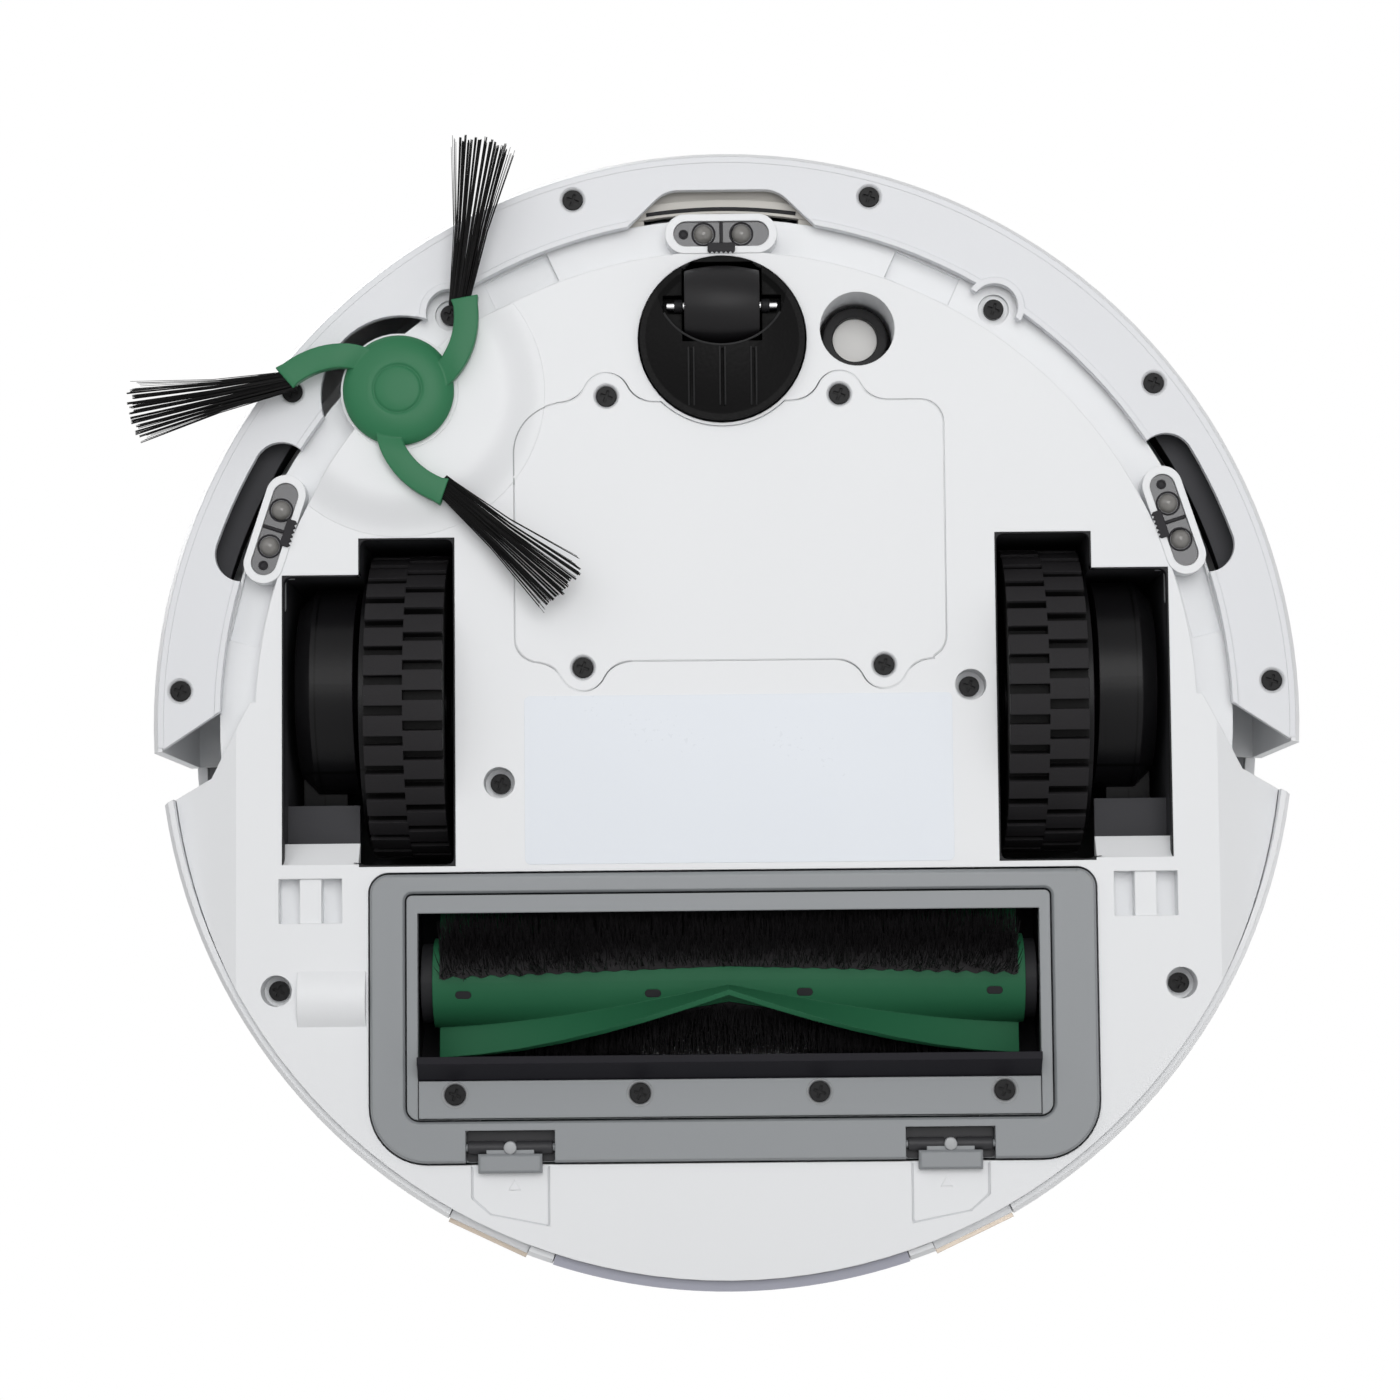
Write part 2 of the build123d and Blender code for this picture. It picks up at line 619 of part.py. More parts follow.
def vee(start, end, r, half_w):
    # One half of a V-shaped rib on the roll, from the middle to the right end.
    sections = []
    steps = 7
    for i in range(steps + 1):
        x = (roll_half - 1) * i / steps
        angle = start + (end - start) * i / steps
        corners = []
        for radius, sign in ((r[0], -1), (r[1], -1), (r[1], 1), (r[0], 1)):
            corners.append(on_roll(x, radius, angle + sign * degrees(half_w / radius)))
        sections.append(make_face(Polyline(*corners, close=True)))
    return loft(sections, ruled=True)


def brush_core():
    core = rod_x(core_r, (-roll_half, roll_half), roll_y, roll_z)
    core -= rod_x(core_bore_r, (-80, 80), roll_y, roll_z)
    for start in (9.0, 189.0):
        half = vee(start, start + 75, (8.6, fin_r), 0.6)
        core += [half, mirror(half, Plane.YZ)]
        for x in core_hole_x:
            place = Pos(x, roll_y, roll_z) * Rot(start + 7, 0, 0) * Pos(0, 0, -core_r - 0.6)
            core -= place * extrude(SlotOverall(3.4, 1.7), 1.4, dir=(0, 0, 1))
    return core


def bristle_row(start, end, lean):
    half = vee(start, end, (core_r + 0.12, core_r + 0.9), 0.9)
    strands = []
    count = 84
    for i in range(count):
        x = (roll_half - 2.5) * (2 * i / (count - 1) - 1)
        angle = start + (end - start) * abs(x) / (roll_half - 1)
        root = on_roll(x, core_r + 0.6, angle)
        strands.append(strand(root, on_roll(x, bristle_r, angle - lean), 0.34))
    return half + [mirror(half, Plane.YZ), *strands]


def brush_bristles():
    return [bristle_row(*row) for row in ((-17, -2, 14), (43, 118, 6), (163, 178, 14), (223, 298, 6))]


def brush_end_caps():
    caps = []
    for side in (1, -1):
        cap = rod_x(8.4, mirrored((roll_half, 65.0), side), roll_y, roll_z)
        cap += rod_x(core_bore_r, mirrored((56, roll_half + 1), side), roll_y, roll_z)
        caps.append(cap + rod_x(axle_r, mirrored((64.5, 70), side), roll_y, roll_z))
    return caps


def brush_chamber():
    body = rod_x(19.5, (-70, 70), roll_y, roll_z) & block((-70, 70), (30, 80), (16.5, 40))
    body += block((-22, 22), (56, 74), (30, chamber_top_z))
    for side in (1, -1):
        body += block(mirrored((66.4, 70), side), (50.0, 61.6), (12.8, 20))
        body += block(mirrored((66.4, 79.5), side), (70.6, 75.6), (13.8, 17.5))
        body += block(mirrored((79, 85), side), (70.6, 75.6), (plate_top_z, 17.5))
    body -= rod_x(17.7, (-66.3, 66.3), roll_y, roll_z)
    body -= block((-66.3, 66.3), (38.1, 73.5), (10, roll_z))
    body -= block((-20, 20), (58, 72), (20, 50))
    return body - rod_x(axle_r + run_gap, (-80, 80), roll_y, roll_z)


def brush_guard():
    hole = rounded((-guard_open_half, guard_open_half), guard_open_y, 1.5, 3.0)
    guard = slab(rounded(guard_x, guard_y, 4.0, 12.0) - hole, guard_z)
    guard = chamfer(guard.edges().group_by(Axis.Z)[0], 0.5)
    hinge_x = (guard_x[0] + 4, guard_x[1] - 4)
    guard -= block(hinge_x, (guard_y[0] - 1, guard_hinge[0]), (guard_z[0] - 1, guard_hinge[1]))
    guard += rod_x(guard_hinge[0] - guard_y[0], hinge_x, *guard_hinge)
    for side in (1, -1):
        x = mirrored((latch_x - 9.4, latch_x + 9.4), side)
        guard -= block(x, (86.8, 95), (0, 10.6))
        slot = mirrored((latch_x - rod_half - 0.5, latch_x + rod_half + 0.5), side)
        guard -= block(slot, (87.0, 91.6), (rod_z - rod_r - run_gap, rod_z + rod_r + run_gap))
    return guard


def latch(side):
    x = side * latch_x
    tab = block((x - latch_half, x + latch_half), (91.7, 95.7), (6.8, 9.3))
    tab = chamfer(tab.edges().group_by(Axis.Z)[0], 0.5)
    tab += rod_x(rod_r, (x - rod_half, x + rod_half), 90.4, rod_z)
    tab += block((x - 5, x + 5), (90.4, 92), (7.7, 9.3))
    return tab + disc(1.3, (7.0, 9.0), x, 90.4)


def floating_frame():
    half = guard_open_half - move_gap
    plan = rounded((-half, half), (guard_open_y[0] + move_gap, guard_open_y[1] - move_gap), 1.2, 2.6)
    frame = slab(plan, (7.2, 10.6))
    mouth = [(41.3, 7.0), (39.3, 10.8), (72.4, 10.8), (72.4, 7.0)]
    frame -= prism_x(mouth, (-mouth_half, mouth_half))
    frame -= block((-mouth_half, mouth_half), (70.0, strip_y[1] + 0.2), (0, 9.2))
    for side in (1, -1):
        for y in (45.0, 68.0):
            frame += block(mirrored((66.0, 71.0), side), (y - 2, y + 2), (guard_z[1] + move_gap, 13.2))
            frame += block(mirrored((66.0, 67.7), side), (y - 2, y + 2), (10, 13.2))
    for x in strip_screw_x:
        frame -= disc(screw_shank_r + run_gap, (0, 20), x, 79.3)
    return frame


def squeegee():
    blade = [(71.5, 9.2), (76.3, 9.2), (76.3, 7.2), (72.8, 1.8), (71.2, 1.8)]
    return prism_x(blade, (-mouth_half + 0.2, mouth_half - 0.2))


def squeegee_strip():
    strip = block((-mouth_half + 0.2, mouth_half - 0.2), strip_y, (6.9, 9.2))
    for x in strip_screw_x:
        strip -= screw_hole(x, 79.3, 6.9, 1.3, 20)
    return strip


def battery_door():
    door = door_slab((base_z, base_z + door_t))
    for x, y in door_screws:
        door -= screw_hole(x, y, base_z, 1.0, 30)
    return door


def battery():
    case = rounded((-36, 36), (-57.5, -17.5), 3.0, 3.0)
    pack = slab(case, battery_z)
    cells = []
    for y in (-47.5, -27.7):
        for z in (battery_z[0] + cell_r + 1, battery_z[1] - cell_r - 1):
            cells.append(rod_x(cell_r, (-cell_half, cell_half), y, z))
    return pack - cells, cells


def main_board():
    low, top = battery_z[1], battery_z[1] + 1.6
    board = block((-44, 50), (-58, -16), (low, top))
    chips = ((-30, -46, 14, 14), (8, -40, 18, 18), (34, -28, 10, 16), (-12, -26, 12, 8))
    for x, y, w, d in chips:
        board += block((x - w / 2, x + w / 2), (y - d / 2, y + d / 2), (top, top + 1.8))
    return board


def side_brush_motor():
    gear_x, gear_y = -60.0, -61.0
    body = disc(17.5, (deck_z, 28), gear_x, gear_y) + disc(10, (27, 50), gear_x + 5, gear_y + 4)
    return body - disc(axle_r + run_gap, (0, 26), *side_hub)


def brush_motor():
    return rod_x(9.5, (-99, -74.5), 49.0, 31.0) + block((-74.6, -70.0), (42, 66), (22, 36))


def fan():
    housing = tube(fan_r - 1.6, fan_r, (41, 66), 0, fan_y) + disc(fan_r, (66, 67.5), 0, fan_y)
    housing += tube(12, fan_r, (41, 42.5), 0, fan_y)
    housing -= disc(3, (60, 70), 0, fan_y)
    for angle in (0, 120, 240):
        x, y = polar(fan_r - 2.0, angle)
        housing += disc(1.6, (plate_top_z, 42), x, fan_y + y)
    motor = disc(13, (52, 66), 0, fan_y) - disc(1.5 + run_gap, (50, 60), 0, fan_y)
    impeller = disc(5, (43.5, 51), 0, fan_y) + disc(18, (49.5, 51), 0, fan_y)
    impeller += disc(1.5, (51, 59.5), 0, fan_y)
    for i in range(9):
        blade = Pos(0, fan_y, 0) * Rot(0, 0, 40 * i) * block((4, 17.5), (-0.5, 0.5), (44, 50))
        impeller += blade
    return housing, motor, impeller


def carpet_sensor():
    ring = tube(4.9, 7.0, (22, 30), *carpet_spot) + disc(9.3, (30, 32), *carpet_spot)
    face = disc(4.85, (24.0, 30.0), *carpet_spot)
    return ring, face


def cliff_parts():
    windows, lenses = [], []
    for x, y, turn in cliff_places():
        window = slab(stadium((x, y, turn), cliff_size), (base_z + 0.6, 11.4))
        place = Pos(x, y, 0) * Rot(0, 0, turn)
        for side in (-4.0, 4.0):
            spot = place * Pos(side, 0, base_z + 1.0) * Sphere(1.9)
            window -= place * Pos(side, 0, base_z + 1.0) * Sphere(1.9 + run_gap)
            lenses.append(spot & disc(200, (0, 11.4)))
        windows.append(window)
    return windows, lenses


def lidar_base():
    base = tube(rotor_r + 2, tower_r, (roof_z - 0.1, roof_z + 1.6), 0, lidar_y)
    base += tube(rotor_r + 2, rotor_r + 4.5, (roof_z - 5, roof_z + 0.1), 0, lidar_y)
    return base + tube(4 + run_gap, rotor_r + 4.5, (roof_z - 6.4, roof_z - 4.9), 0, lidar_y)


def lidar_cap():
    cap = disc(tower_r, (tower_z - 3.6, tower_z), 0, lidar_y)
    cap = fillet(cap.edges().group_by(Axis.Z)[-1], 2.4)
    for angle in (35, 145, 215, 325):
        x, y = polar(34.0, angle)
        middle = lidar_y + y
        cap += block((x - 2.6, x + 2.6), (middle - 2.6, middle + 2.6), (roof_z + 1.6, tower_z - 3.0))
    return cap


def lidar_rotor():
    rotor = disc(rotor_r, (roof_z - 3, tower_z - 4.4), 0, lidar_y) + disc(4, (roof_z - 8, roof_z), 0, lidar_y)
    for x in (-9, 9):
        rotor -= Pos(x, lidar_y - rotor_r, roof_z + 4) * Rot(90, 0, 0) * Cylinder(4.2, 8)
    return rotor


def dust_bin():
    plan = rounded((-bin_half, bin_half), bin_y, 6.0, 16.0)
    inside = rounded((-bin_half + 1.4, bin_half - 1.4), (bin_y[0] + 1.4, bin_y[1] - 1.4), 4.6, 14.6)
    tub = slab(plan, bin_z) - slab(inside, (bin_z[0] + 1.4, 90))
    tub -= block((-18, 18), (60, 70), (30, 60))
    tub += block((-bin_half + 0.7, bin_half - 0.7), (48, 49.2), (bin_z[0] + 1, bin_z[1]))
    tub -= block((-46, 46), (47, 50), (46, 70))
    filt = block((-48, 48), (49.2, 57), (44, 72))
    lid = slab(plan, (bin_z[1], 79.7))
    lid -= slab(inside, (60, 77.4)) - block((-60, 60), (40, 70), (74, 90))
    well = rounded((-24, 24), (44, 66), 3.0, 3.0)
    lid -= slab(well, (75.4, 90))
    handle = rounded((-22.5, 22.5), (46, 64), 2.0, 3.0) - rounded((-18, 18), (40, 59.5), 1.0, 2.0)
    handle = slab(handle, (76.6, 79.4)) + rod_x(1.4, (-25.5, 25.5), 47.6, 78.0)
    handle -= block((-18, 18), (40, 52), (70, 90))
    lid -= rod_x(1.4 + run_gap, (-26, 26), 47.6, 78.0)
    return tub, lid, filt, handle


def button(x, y):
    cap = disc(button_r, (roof_z - 3.4, roof_z + 0.6), x, y)
    cap = fillet(cap.edges().group_by(Axis.Z)[-1], 0.5)
    return cap + disc(button_r + 1.6, (roof_z - 4.6, roof_z - 3.3), x, y)


def screws(spots, z, head_h, length):
    return [screw(x, y, z, head_h, length) for x, y in spots]


os.makedirs("parts", exist_ok=True)
save("base_chassis", base_chassis())
save("mid_frame", mid_frame())
save("rear_shell", rear_shell())
save("top_cover", top_cover())
save("rear_window", slab(window_plan(), (ring_z, 40)))
save("charge_contacts", *[contact(angle) for angle in contact_angles])
save("bumper_shell", bumper_shell())
save("bumper_ring", bumper_ring())
save("front_strip", front_strip())
save("bumper_foam", *foam_pads())
bumper_spots = [polar(bumper_screw_r, side * a) for side in (1, -1) for a in bumper_screw_angles]
save("bumper_screws", *screws(bumper_spots, ring_z + 0.3, 0.9, 7.0))

for side, name in ((1, "left"), (-1, "right")):
    save(f"{name}_wheel_housing", wheel_housing(side))
    save(f"{name}_gearbox", gearbox(side))
    save(f"{name}_drive_motor", drive_motor(side))
    save(f"{name}_rim", rim(side))
    save(f"{name}_tyre", tyre(side))
    save(f"{name}_latch", latch(side))

save("caster_socket", caster_socket())
save("caster_body", caster_body())
save("caster_wheel", caster_wheel())
save("caster_axle", rod_x(1.0, (-11.8, 11.8), caster_axle_y, roller_r))

save("side_brush_hub", side_brush_hub())
save("side_brush_bristles", *[side_tuft(*arm) for arm in brush_arms])
save("side_brush_motor", side_brush_motor())

save("brush_core", brush_core())
save("brush_bristles", *brush_bristles())
save("brush_end_caps", *brush_end_caps())
save("brush_chamber", brush_chamber())
save("brush_motor", brush_motor())
save("brush_guard", brush_guard())
save("floating_frame", floating_frame())
save("squeegee", squeegee())
save("squeegee_strip", squeegee_strip())
save("squeegee_screws", *screws([(x, 79.3) for x in strip_screw_x], 7.1, 1.1, 3.4))

battery_case, battery_cells = battery()
save("battery_door", battery_door())
save("battery_case", battery_case)
save("battery_cells", *battery_cells)
save("main_board", main_board())
save("base_screws", *screws(deep_screws, 13.9, 1.6, 5.5), *screws(door_screws, base_z + 0.1, 0.9, 6.0))

fan_housing, fan_motor, fan_impeller = fan()
save("fan_housing", fan_housing)
save("fan_motor", fan_motor)
save("fan_impeller", fan_impeller)
sensor_ring, sensor_face = carpet_sensor()
save("carpet_sensor_ring", sensor_ring)
save("carpet_sensor_face", sensor_face)
cliff_windows, cliff_lenses = cliff_parts()
save("cliff_windows", *cliff_windows)
save("cliff_lenses", *cliff_lenses)

save("lidar_cap", lidar_cap())
save("lidar_rotor", lidar_rotor())
bin_tub, bin_lid, bin_filter, bin_handle = dust_bin()
save("bin_tub", bin_tub)
save("bin_lid", bin_lid)
save("bin_filter", bin_filter)
save("bin_handle", bin_handle)
for name, spot in zip(("clean_button", "dock_button"), button_spots):
    save(name, button(*spot))
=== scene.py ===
import bpy
import json
import math
import random
from mathutils import Matrix, Vector


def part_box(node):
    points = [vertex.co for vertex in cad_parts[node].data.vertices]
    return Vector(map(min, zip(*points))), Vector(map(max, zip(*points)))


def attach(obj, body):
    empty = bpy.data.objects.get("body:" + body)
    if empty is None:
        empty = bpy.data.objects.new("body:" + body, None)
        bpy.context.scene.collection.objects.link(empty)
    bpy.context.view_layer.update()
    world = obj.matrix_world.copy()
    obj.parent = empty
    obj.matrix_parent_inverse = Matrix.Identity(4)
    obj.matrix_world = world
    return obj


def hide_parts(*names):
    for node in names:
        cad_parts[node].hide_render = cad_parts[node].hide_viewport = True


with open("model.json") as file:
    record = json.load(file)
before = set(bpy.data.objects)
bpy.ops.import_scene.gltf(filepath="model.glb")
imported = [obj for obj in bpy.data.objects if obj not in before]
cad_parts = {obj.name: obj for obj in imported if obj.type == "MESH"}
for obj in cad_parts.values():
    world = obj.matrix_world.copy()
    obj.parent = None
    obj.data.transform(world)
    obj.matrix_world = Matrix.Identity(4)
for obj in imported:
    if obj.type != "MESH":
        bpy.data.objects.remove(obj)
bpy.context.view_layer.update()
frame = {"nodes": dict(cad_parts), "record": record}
nodes = frame["nodes"]
mm = 0.001
print("frame loaded:", len(nodes), "CAD nodes")


class Wire:
    # one socket of a shader, so that sums can be written as plain Python
    def __init__(self, tree, socket):
        self.tree = tree
        self.socket = socket

    def sum(self, operation, first, second):
        node = self.tree.nodes.new("ShaderNodeMath")
        node.operation = operation
        for slot, value in zip(node.inputs, (first, second)):
            if isinstance(value, Wire):
                self.tree.links.new(value.socket, slot)
            else:
                slot.default_value = value
        return Wire(self.tree, node.outputs[0])

    def __add__(self, other):
        return self.sum("ADD", self, other)

    def __radd__(self, other):
        return self.sum("ADD", other, self)

    def __sub__(self, other):
        return self.sum("SUBTRACT", self, other)

    def __rsub__(self, other):
        return self.sum("SUBTRACT", other, self)

    def __mul__(self, other):
        return self.sum("MULTIPLY", self, other)

    def __rmul__(self, other):
        return self.sum("MULTIPLY", other, self)

    def __truediv__(self, size):
        node = self.tree.nodes.new("ShaderNodeVectorMath")
        node.operation = "SCALE"
        node.inputs["Scale"].default_value = 1 / size
        self.tree.links.new(self.socket, node.inputs[0])
        return Wire(self.tree, node.outputs[0])

    def __lt__(self, other):
        return self.sum("LESS_THAN", self, other)

    def __gt__(self, other):
        return self.sum("GREATER_THAN", self, other)

    def __abs__(self):
        return self.sum("ABSOLUTE", self, 0.0)


class Finish:
    # a material with one main shader; add() makes every node that isn't a sum
    def __init__(self, name):
        self.material = bpy.data.materials.new(name)
        self.material.use_nodes = True
        self.tree = self.material.node_tree
        self.tree.nodes.clear()
        self.output = self.tree.nodes.new("ShaderNodeOutputMaterial")
        self.place = self.add("TexCoord", out="Object")

    def add(self, kind, settings=None, sockets=None, out=0):
        node = self.tree.nodes.new("ShaderNode" + kind)
        for key, value in (settings or {}).items():
            setattr(node, key, value)
        for key, value in (sockets or {}).items():
            if isinstance(value, Wire):
                self.tree.links.new(value.socket, node.inputs[key])
            else:
                node.inputs[key].default_value = value
        return Wire(self.tree, node.outputs[out])

    def noise(self, scale, detail=2.0, stretch=None):
        spot = self.place
        if stretch:
            spot = self.add("Mapping", {}, {"Vector": self.place, "Scale": stretch})
        return self.add("TexNoise", {}, {"Vector": spot, "Scale": scale, "Detail": detail})

    def pebbles(self, scale):
        return self.add("TexVoronoi", {"feature": "SMOOTH_F1"}, {"Vector": self.place, "Scale": scale})

    # sockets 6 and 7 of a colour mix are its two colours, and output 2 is their mix
    def mix(self, factor, first, second):
        ends = [(*end, 1) if isinstance(end, tuple) else end for end in (first, second)]
        return self.add("Mix", {"data_type": "RGBA"}, {0: factor, 6: ends[0], 7: ends[1]}, 2)

    # a colour that drifts between two shades of itself
    def shades(self, factor, colour, low, high):
        return self.mix(factor, scaled(colour, low), scaled(colour, high))

    # fine relief of a given depth in millimetres, over edges softened by a radius in millimetres
    def relief(self, height, strength, depth, edge=None):
        sockets = {"Height": height, "Strength": strength, "Distance": depth * mm}
        if edge:
            sockets["Normal"] = self.add("Bevel", {"samples": 4}, {"Radius": edge * mm})
        return self.add("Bump", {}, sockets)

    def shade(self, sockets, surface="BsdfPrincipled"):
        shader = self.add(surface, {}, sockets)
        self.tree.links.new(shader.socket, self.output.inputs["Surface"])
        return self.material


def scaled(colour, factor):
    return tuple(min(1.0, part * factor) for part in colour)


# settings shared by several finishes
coated = {"Coat Weight": 0.08, "Coat Roughness": 0.25}
dull = {"Specular IOR Level": 0.13}
satin = {"Specular IOR Level": 0.22}


# moulded plastic, rubber and paint: slow tone drift, fine grain, softened edges
def moulded(name, colour, rough, tone=0.02, grain=0.04, grainScale=2600, edge=0.3, more=None):
    finish = Finish(name)
    drift = finish.noise(28, 3)
    fine = finish.noise(grainScale, 3)
    return finish.shade({
        "Base Color": finish.shades(drift, colour, 1 - tone, 1 + tone),
        "Roughness": rough + 0.12 * (drift - 0.5) + 0.08 * (fine - 0.5),
        "Normal": finish.relief(fine, grain, 0.2, edge),
        **(more or {}),
    })


# black rubber or plastic with a darker zone, given by a rule of the place in millimetres that is 1 inside it; the
# darker zone is painted shade in recesses and along a step, and on the gearbox also a dark seam
def zoned(name, colour, inner, zone, rough, grain, grainScale, gloss, pebble=False):
    finish = Finish(name)
    place = finish.place / mm
    inside = zone(*[finish.add("SeparateXYZ", {}, {"Vector": place}, part) for part in "XYZ"])
    drift = finish.noise(40, 3)
    fine = 1 - finish.pebbles(grainScale) if pebble else finish.noise(grainScale, 3)
    return finish.shade({
        "Base Color": finish.mix(inside, finish.shades(drift, colour, 0.85, 1.15), inner),
        "Roughness": rough + 0.12 * (fine - 0.5),
        "Normal": finish.relief(fine * (1 - inside), grain, 0.15, 0.35),
        "Specular IOR Level": gloss,
    })


# open foam
def pebbled(name, colour, rough, cells, depth):
    finish = Finish(name)
    pebble = finish.pebbles(cells)
    return finish.shade({
        "Base Color": finish.shades(finish.noise(40), colour, 0.85, 1.2),
        "Roughness": rough + 0.15 * (pebble - 0.5),
        "Normal": finish.relief(1 - pebble, depth, 0.12),
        **dull,
    })


# turned or drawn metal with fine lines along one direction
def drawnMetal(name, colour, rough, stretch):
    finish = Finish(name)
    lines = finish.noise(900, 3, stretch)
    return finish.shade({
        "Base Color": finish.shades(finish.noise(60), colour, 0.9, 1.06),
        "Metallic": 1.0,
        "Roughness": rough + 0.16 * (lines - 0.5),
        "Normal": finish.relief(lines, 0.08, 0.1, 0.2),
    })


# clear and smoky plastic
def clearPlastic(name, colour, rough, passing):
    finish = Finish(name)
    cloud = finish.noise(120)
    return finish.shade({
        "Base Color": finish.shades(cloud, colour, 0.95, 1.05),
        "Roughness": rough + 0.06 * (cloud - 0.5),
        "IOR": 1.49,
        "Transmission Weight": passing,
    })


# bristle nylon: deep black, with strands that differ a little
def nylon(name, colour, rough):
    finish = Finish(name)
    strand = finish.noise(700, 1)
    return finish.shade({
        "Base Color": finish.shades(strand, colour, 0.6, 1.6),
        "Roughness": rough + 0.1 * (strand - 0.5),
        "Specular IOR Level": 0.12,
    })


# the rear window is dark on its face and pale along its lower edge, where light comes through
def windowFinish():
    finish = Finish("rear window plastic")
    height = finish.add("SeparateXYZ", {}, {"Vector": finish.place / mm}, "Z")
    fade = finish.add("MapRange", {}, {"Value": height, "From Min": 11.2, "From Max": 14.0}, "Result")
    cloud = finish.noise(90)
    face = finish.mix(cloud, (0.03, 0.031, 0.038), (0.04, 0.041, 0.05))
    base = finish.mix(fade, (0.37, 0.375, 0.44), face)
    return finish.shade({"Base Color": base, "Roughness": 0.12 + 0.06 * (cloud - 0.5), "Coat Weight": 0.3})


# zones of the black parts, in millimetres: painted shade in the tread's grooves, the gearbox's dark rim seam with
# painted shade along its lower step, painted shade inside the caster's scoop
zones = {"wheelAxis": (-4.5, 33.0), "treadFloorR": 32.3, "gearboxRimX": 87.4, "rimHalf": 0.2, "gearboxStepY": 10.6,
         "stepHalf": 0.25, "scoopY": -92.8, "scoopR": 13.95}


# painted shade: the floors of the tread's grooves are darker than its lugs
def treadGrooveShade(x, y, z):
    axisY, axisZ = zones["wheelAxis"]
    return (y - axisY) * (y - axisY) + (z - axisZ) * (z - axisZ) < zones["treadFloorR"] ** 2


# a dark seam round the gearbox's rim, and painted shade along the step at the drum's lower end
def gearboxSeamAndStepShade(x, y, z):
    rim = abs(abs(x) - zones["gearboxRimX"]) < zones["rimHalf"]
    step = abs(y - zones["gearboxStepY"]) < zones["stepHalf"]
    return rim + step - rim * step


# painted shade: the inside of the caster's scoop is darker than the rest of the dome
def casterScoopShade(x, y, z):
    return x * x + (y - zones["scoopY"]) * (y - zones["scoopY"]) < zones["scoopR"] ** 2


finishes = {
    "white_base": moulded("white base plastic", (0.81, 0.82, 0.835), 0.42, 0.012, 0.05),
    "white_shell": moulded("white shell plastic", (0.79, 0.8, 0.815), 0.42, 0.012, 0.04, more=coated),
    "white_ring": moulded("white bumper plastic", (0.74, 0.75, 0.775), 0.4, 0.012, 0.05),
    "dark_inner": moulded("dark inner plastic", (0.02, 0.02, 0.022), 0.5, 0.15, 0.06, more=dull),
    "gloss_black": zoned("gloss black plastic", (0.006, 0.0058, 0.0065), (0.001, 0.001, 0.001),
                         gearboxSeamAndStepShade, 0.34, 0.06, 1500, 0.15),
    "caster_black": zoned("pebbled caster black", (0.006, 0.0058, 0.006), (0.0006, 0.0006, 0.0006),
                          casterScoopShade, 0.45, 0.5, 1400, 0.07, True),
    "tyre_rubber": zoned("tyre rubber", (0.019, 0.018, 0.0195), (0.0025, 0.0024, 0.0025),
                         treadGrooveShade, 0.6, 0.2, 1800, 0.13),
    "squeegee_rubber": moulded("squeegee rubber", (0.0095, 0.009, 0.0125), 0.5, 0.12, 0.05, 2200, 0.3, dull),
    "grey_frame": moulded("grey frame plastic", (0.255, 0.268, 0.28), 0.4, 0.03, 0.05, 2600, 0.35),
    "brush_green": moulded("green brush plastic", (0.029, 0.168, 0.075), 0.42, 0.04, 0.06, 2200, 0.3, satin),
    "bristle": nylon("black bristle nylon", (0.0045, 0.0043, 0.0045), 0.42),
    "screw_black": moulded("black screw steel", (0.011, 0.011, 0.0115), 0.4, 0.15, 0.05, 1200, 0.2, dull),
    "pin_steel": drawnMetal("caster pin steel", (0.62, 0.62, 0.63), 0.3, (0.1, 1, 1)),
    "motor_steel": drawnMetal("motor can steel", (0.5, 0.5, 0.51), 0.35, (0.1, 1, 1)),
    "contact_nickel": drawnMetal("nickel contact", (0.44, 0.38, 0.32), 0.3, (1, 1, 0.1)),
    "smoky_window": clearPlastic("smoky window", (0.075, 0.075, 0.083), 0.16, 0.15),
    "clear_lens": clearPlastic("clear lens", (0.4, 0.388, 0.368), 0.05, 0.5),
    "sensor_face": moulded("matte sensor face", (0.8, 0.79, 0.77), 0.5, 0.02, 0.03, more=satin),
    "battery_wrap": moulded("battery wrap", (0.02, 0.02, 0.022), 0.35, 0.1, 0.02),
    "cell_metal": moulded("cell sleeve", (0.1, 0.25, 0.45), 0.3, 0.05, 0.01),
    "board_green": moulded("circuit board", (0.02, 0.16, 0.06), 0.4, 0.2, 0.05, 900),
    "pale_strip": moulded("pale bumper strip", (0.6, 0.58, 0.54), 0.5, 0.05, 0.05),
    "foam": pebbled("bumper foam", (0.07, 0.07, 0.074), 0.9, 2200, 0.5),
    "bin_smoke": clearPlastic("smoky bin plastic", (0.42, 0.43, 0.45), 0.14, 0.5),
    "filter_paper": moulded("filter fleece", (0.82, 0.81, 0.77), 0.85, 0.05, 0.4, 1400),
}

# nodes whose look differs from the rest of their slot; the roll core's darker green is painted shade
satinBlack = moulded("satin roller black", (0.008, 0.0075, 0.0085), 0.46, 0.1, 0.03, 2600, 0.6, satin)
housingGrey = moulded("wheel housing grey", (0.05, 0.05, 0.055), 0.5, 0.12, 0.05, more=dull)
lookByNode = {
    "caster_wheel": satinBlack,
    "carpet_sensor_ring": satinBlack,
    "brush_end_caps": finishes["dark_inner"],
    "left_wheel_housing": housingGrey,
    "right_wheel_housing": housingGrey,
    # painted shade: the roll core is darker than the hub's green, for the shade in the brush chamber
    "brush_core": moulded("roll core green painted shade", (0.019, 0.112, 0.052), 0.5, 0.06, 0.05, 2200, 0.4, dull),
    "rear_window": windowFinish(),
}
slotOf = {row["node"]: row["material_slot"] for row in frame["record"]["subparts"]}
for name, node in nodes.items():
    node.data.materials.clear()
    node.data.materials.append(lookByNode.get(name) or finishes[slotOf[name]])
print("finishes on CAD nodes:", len(finishes))


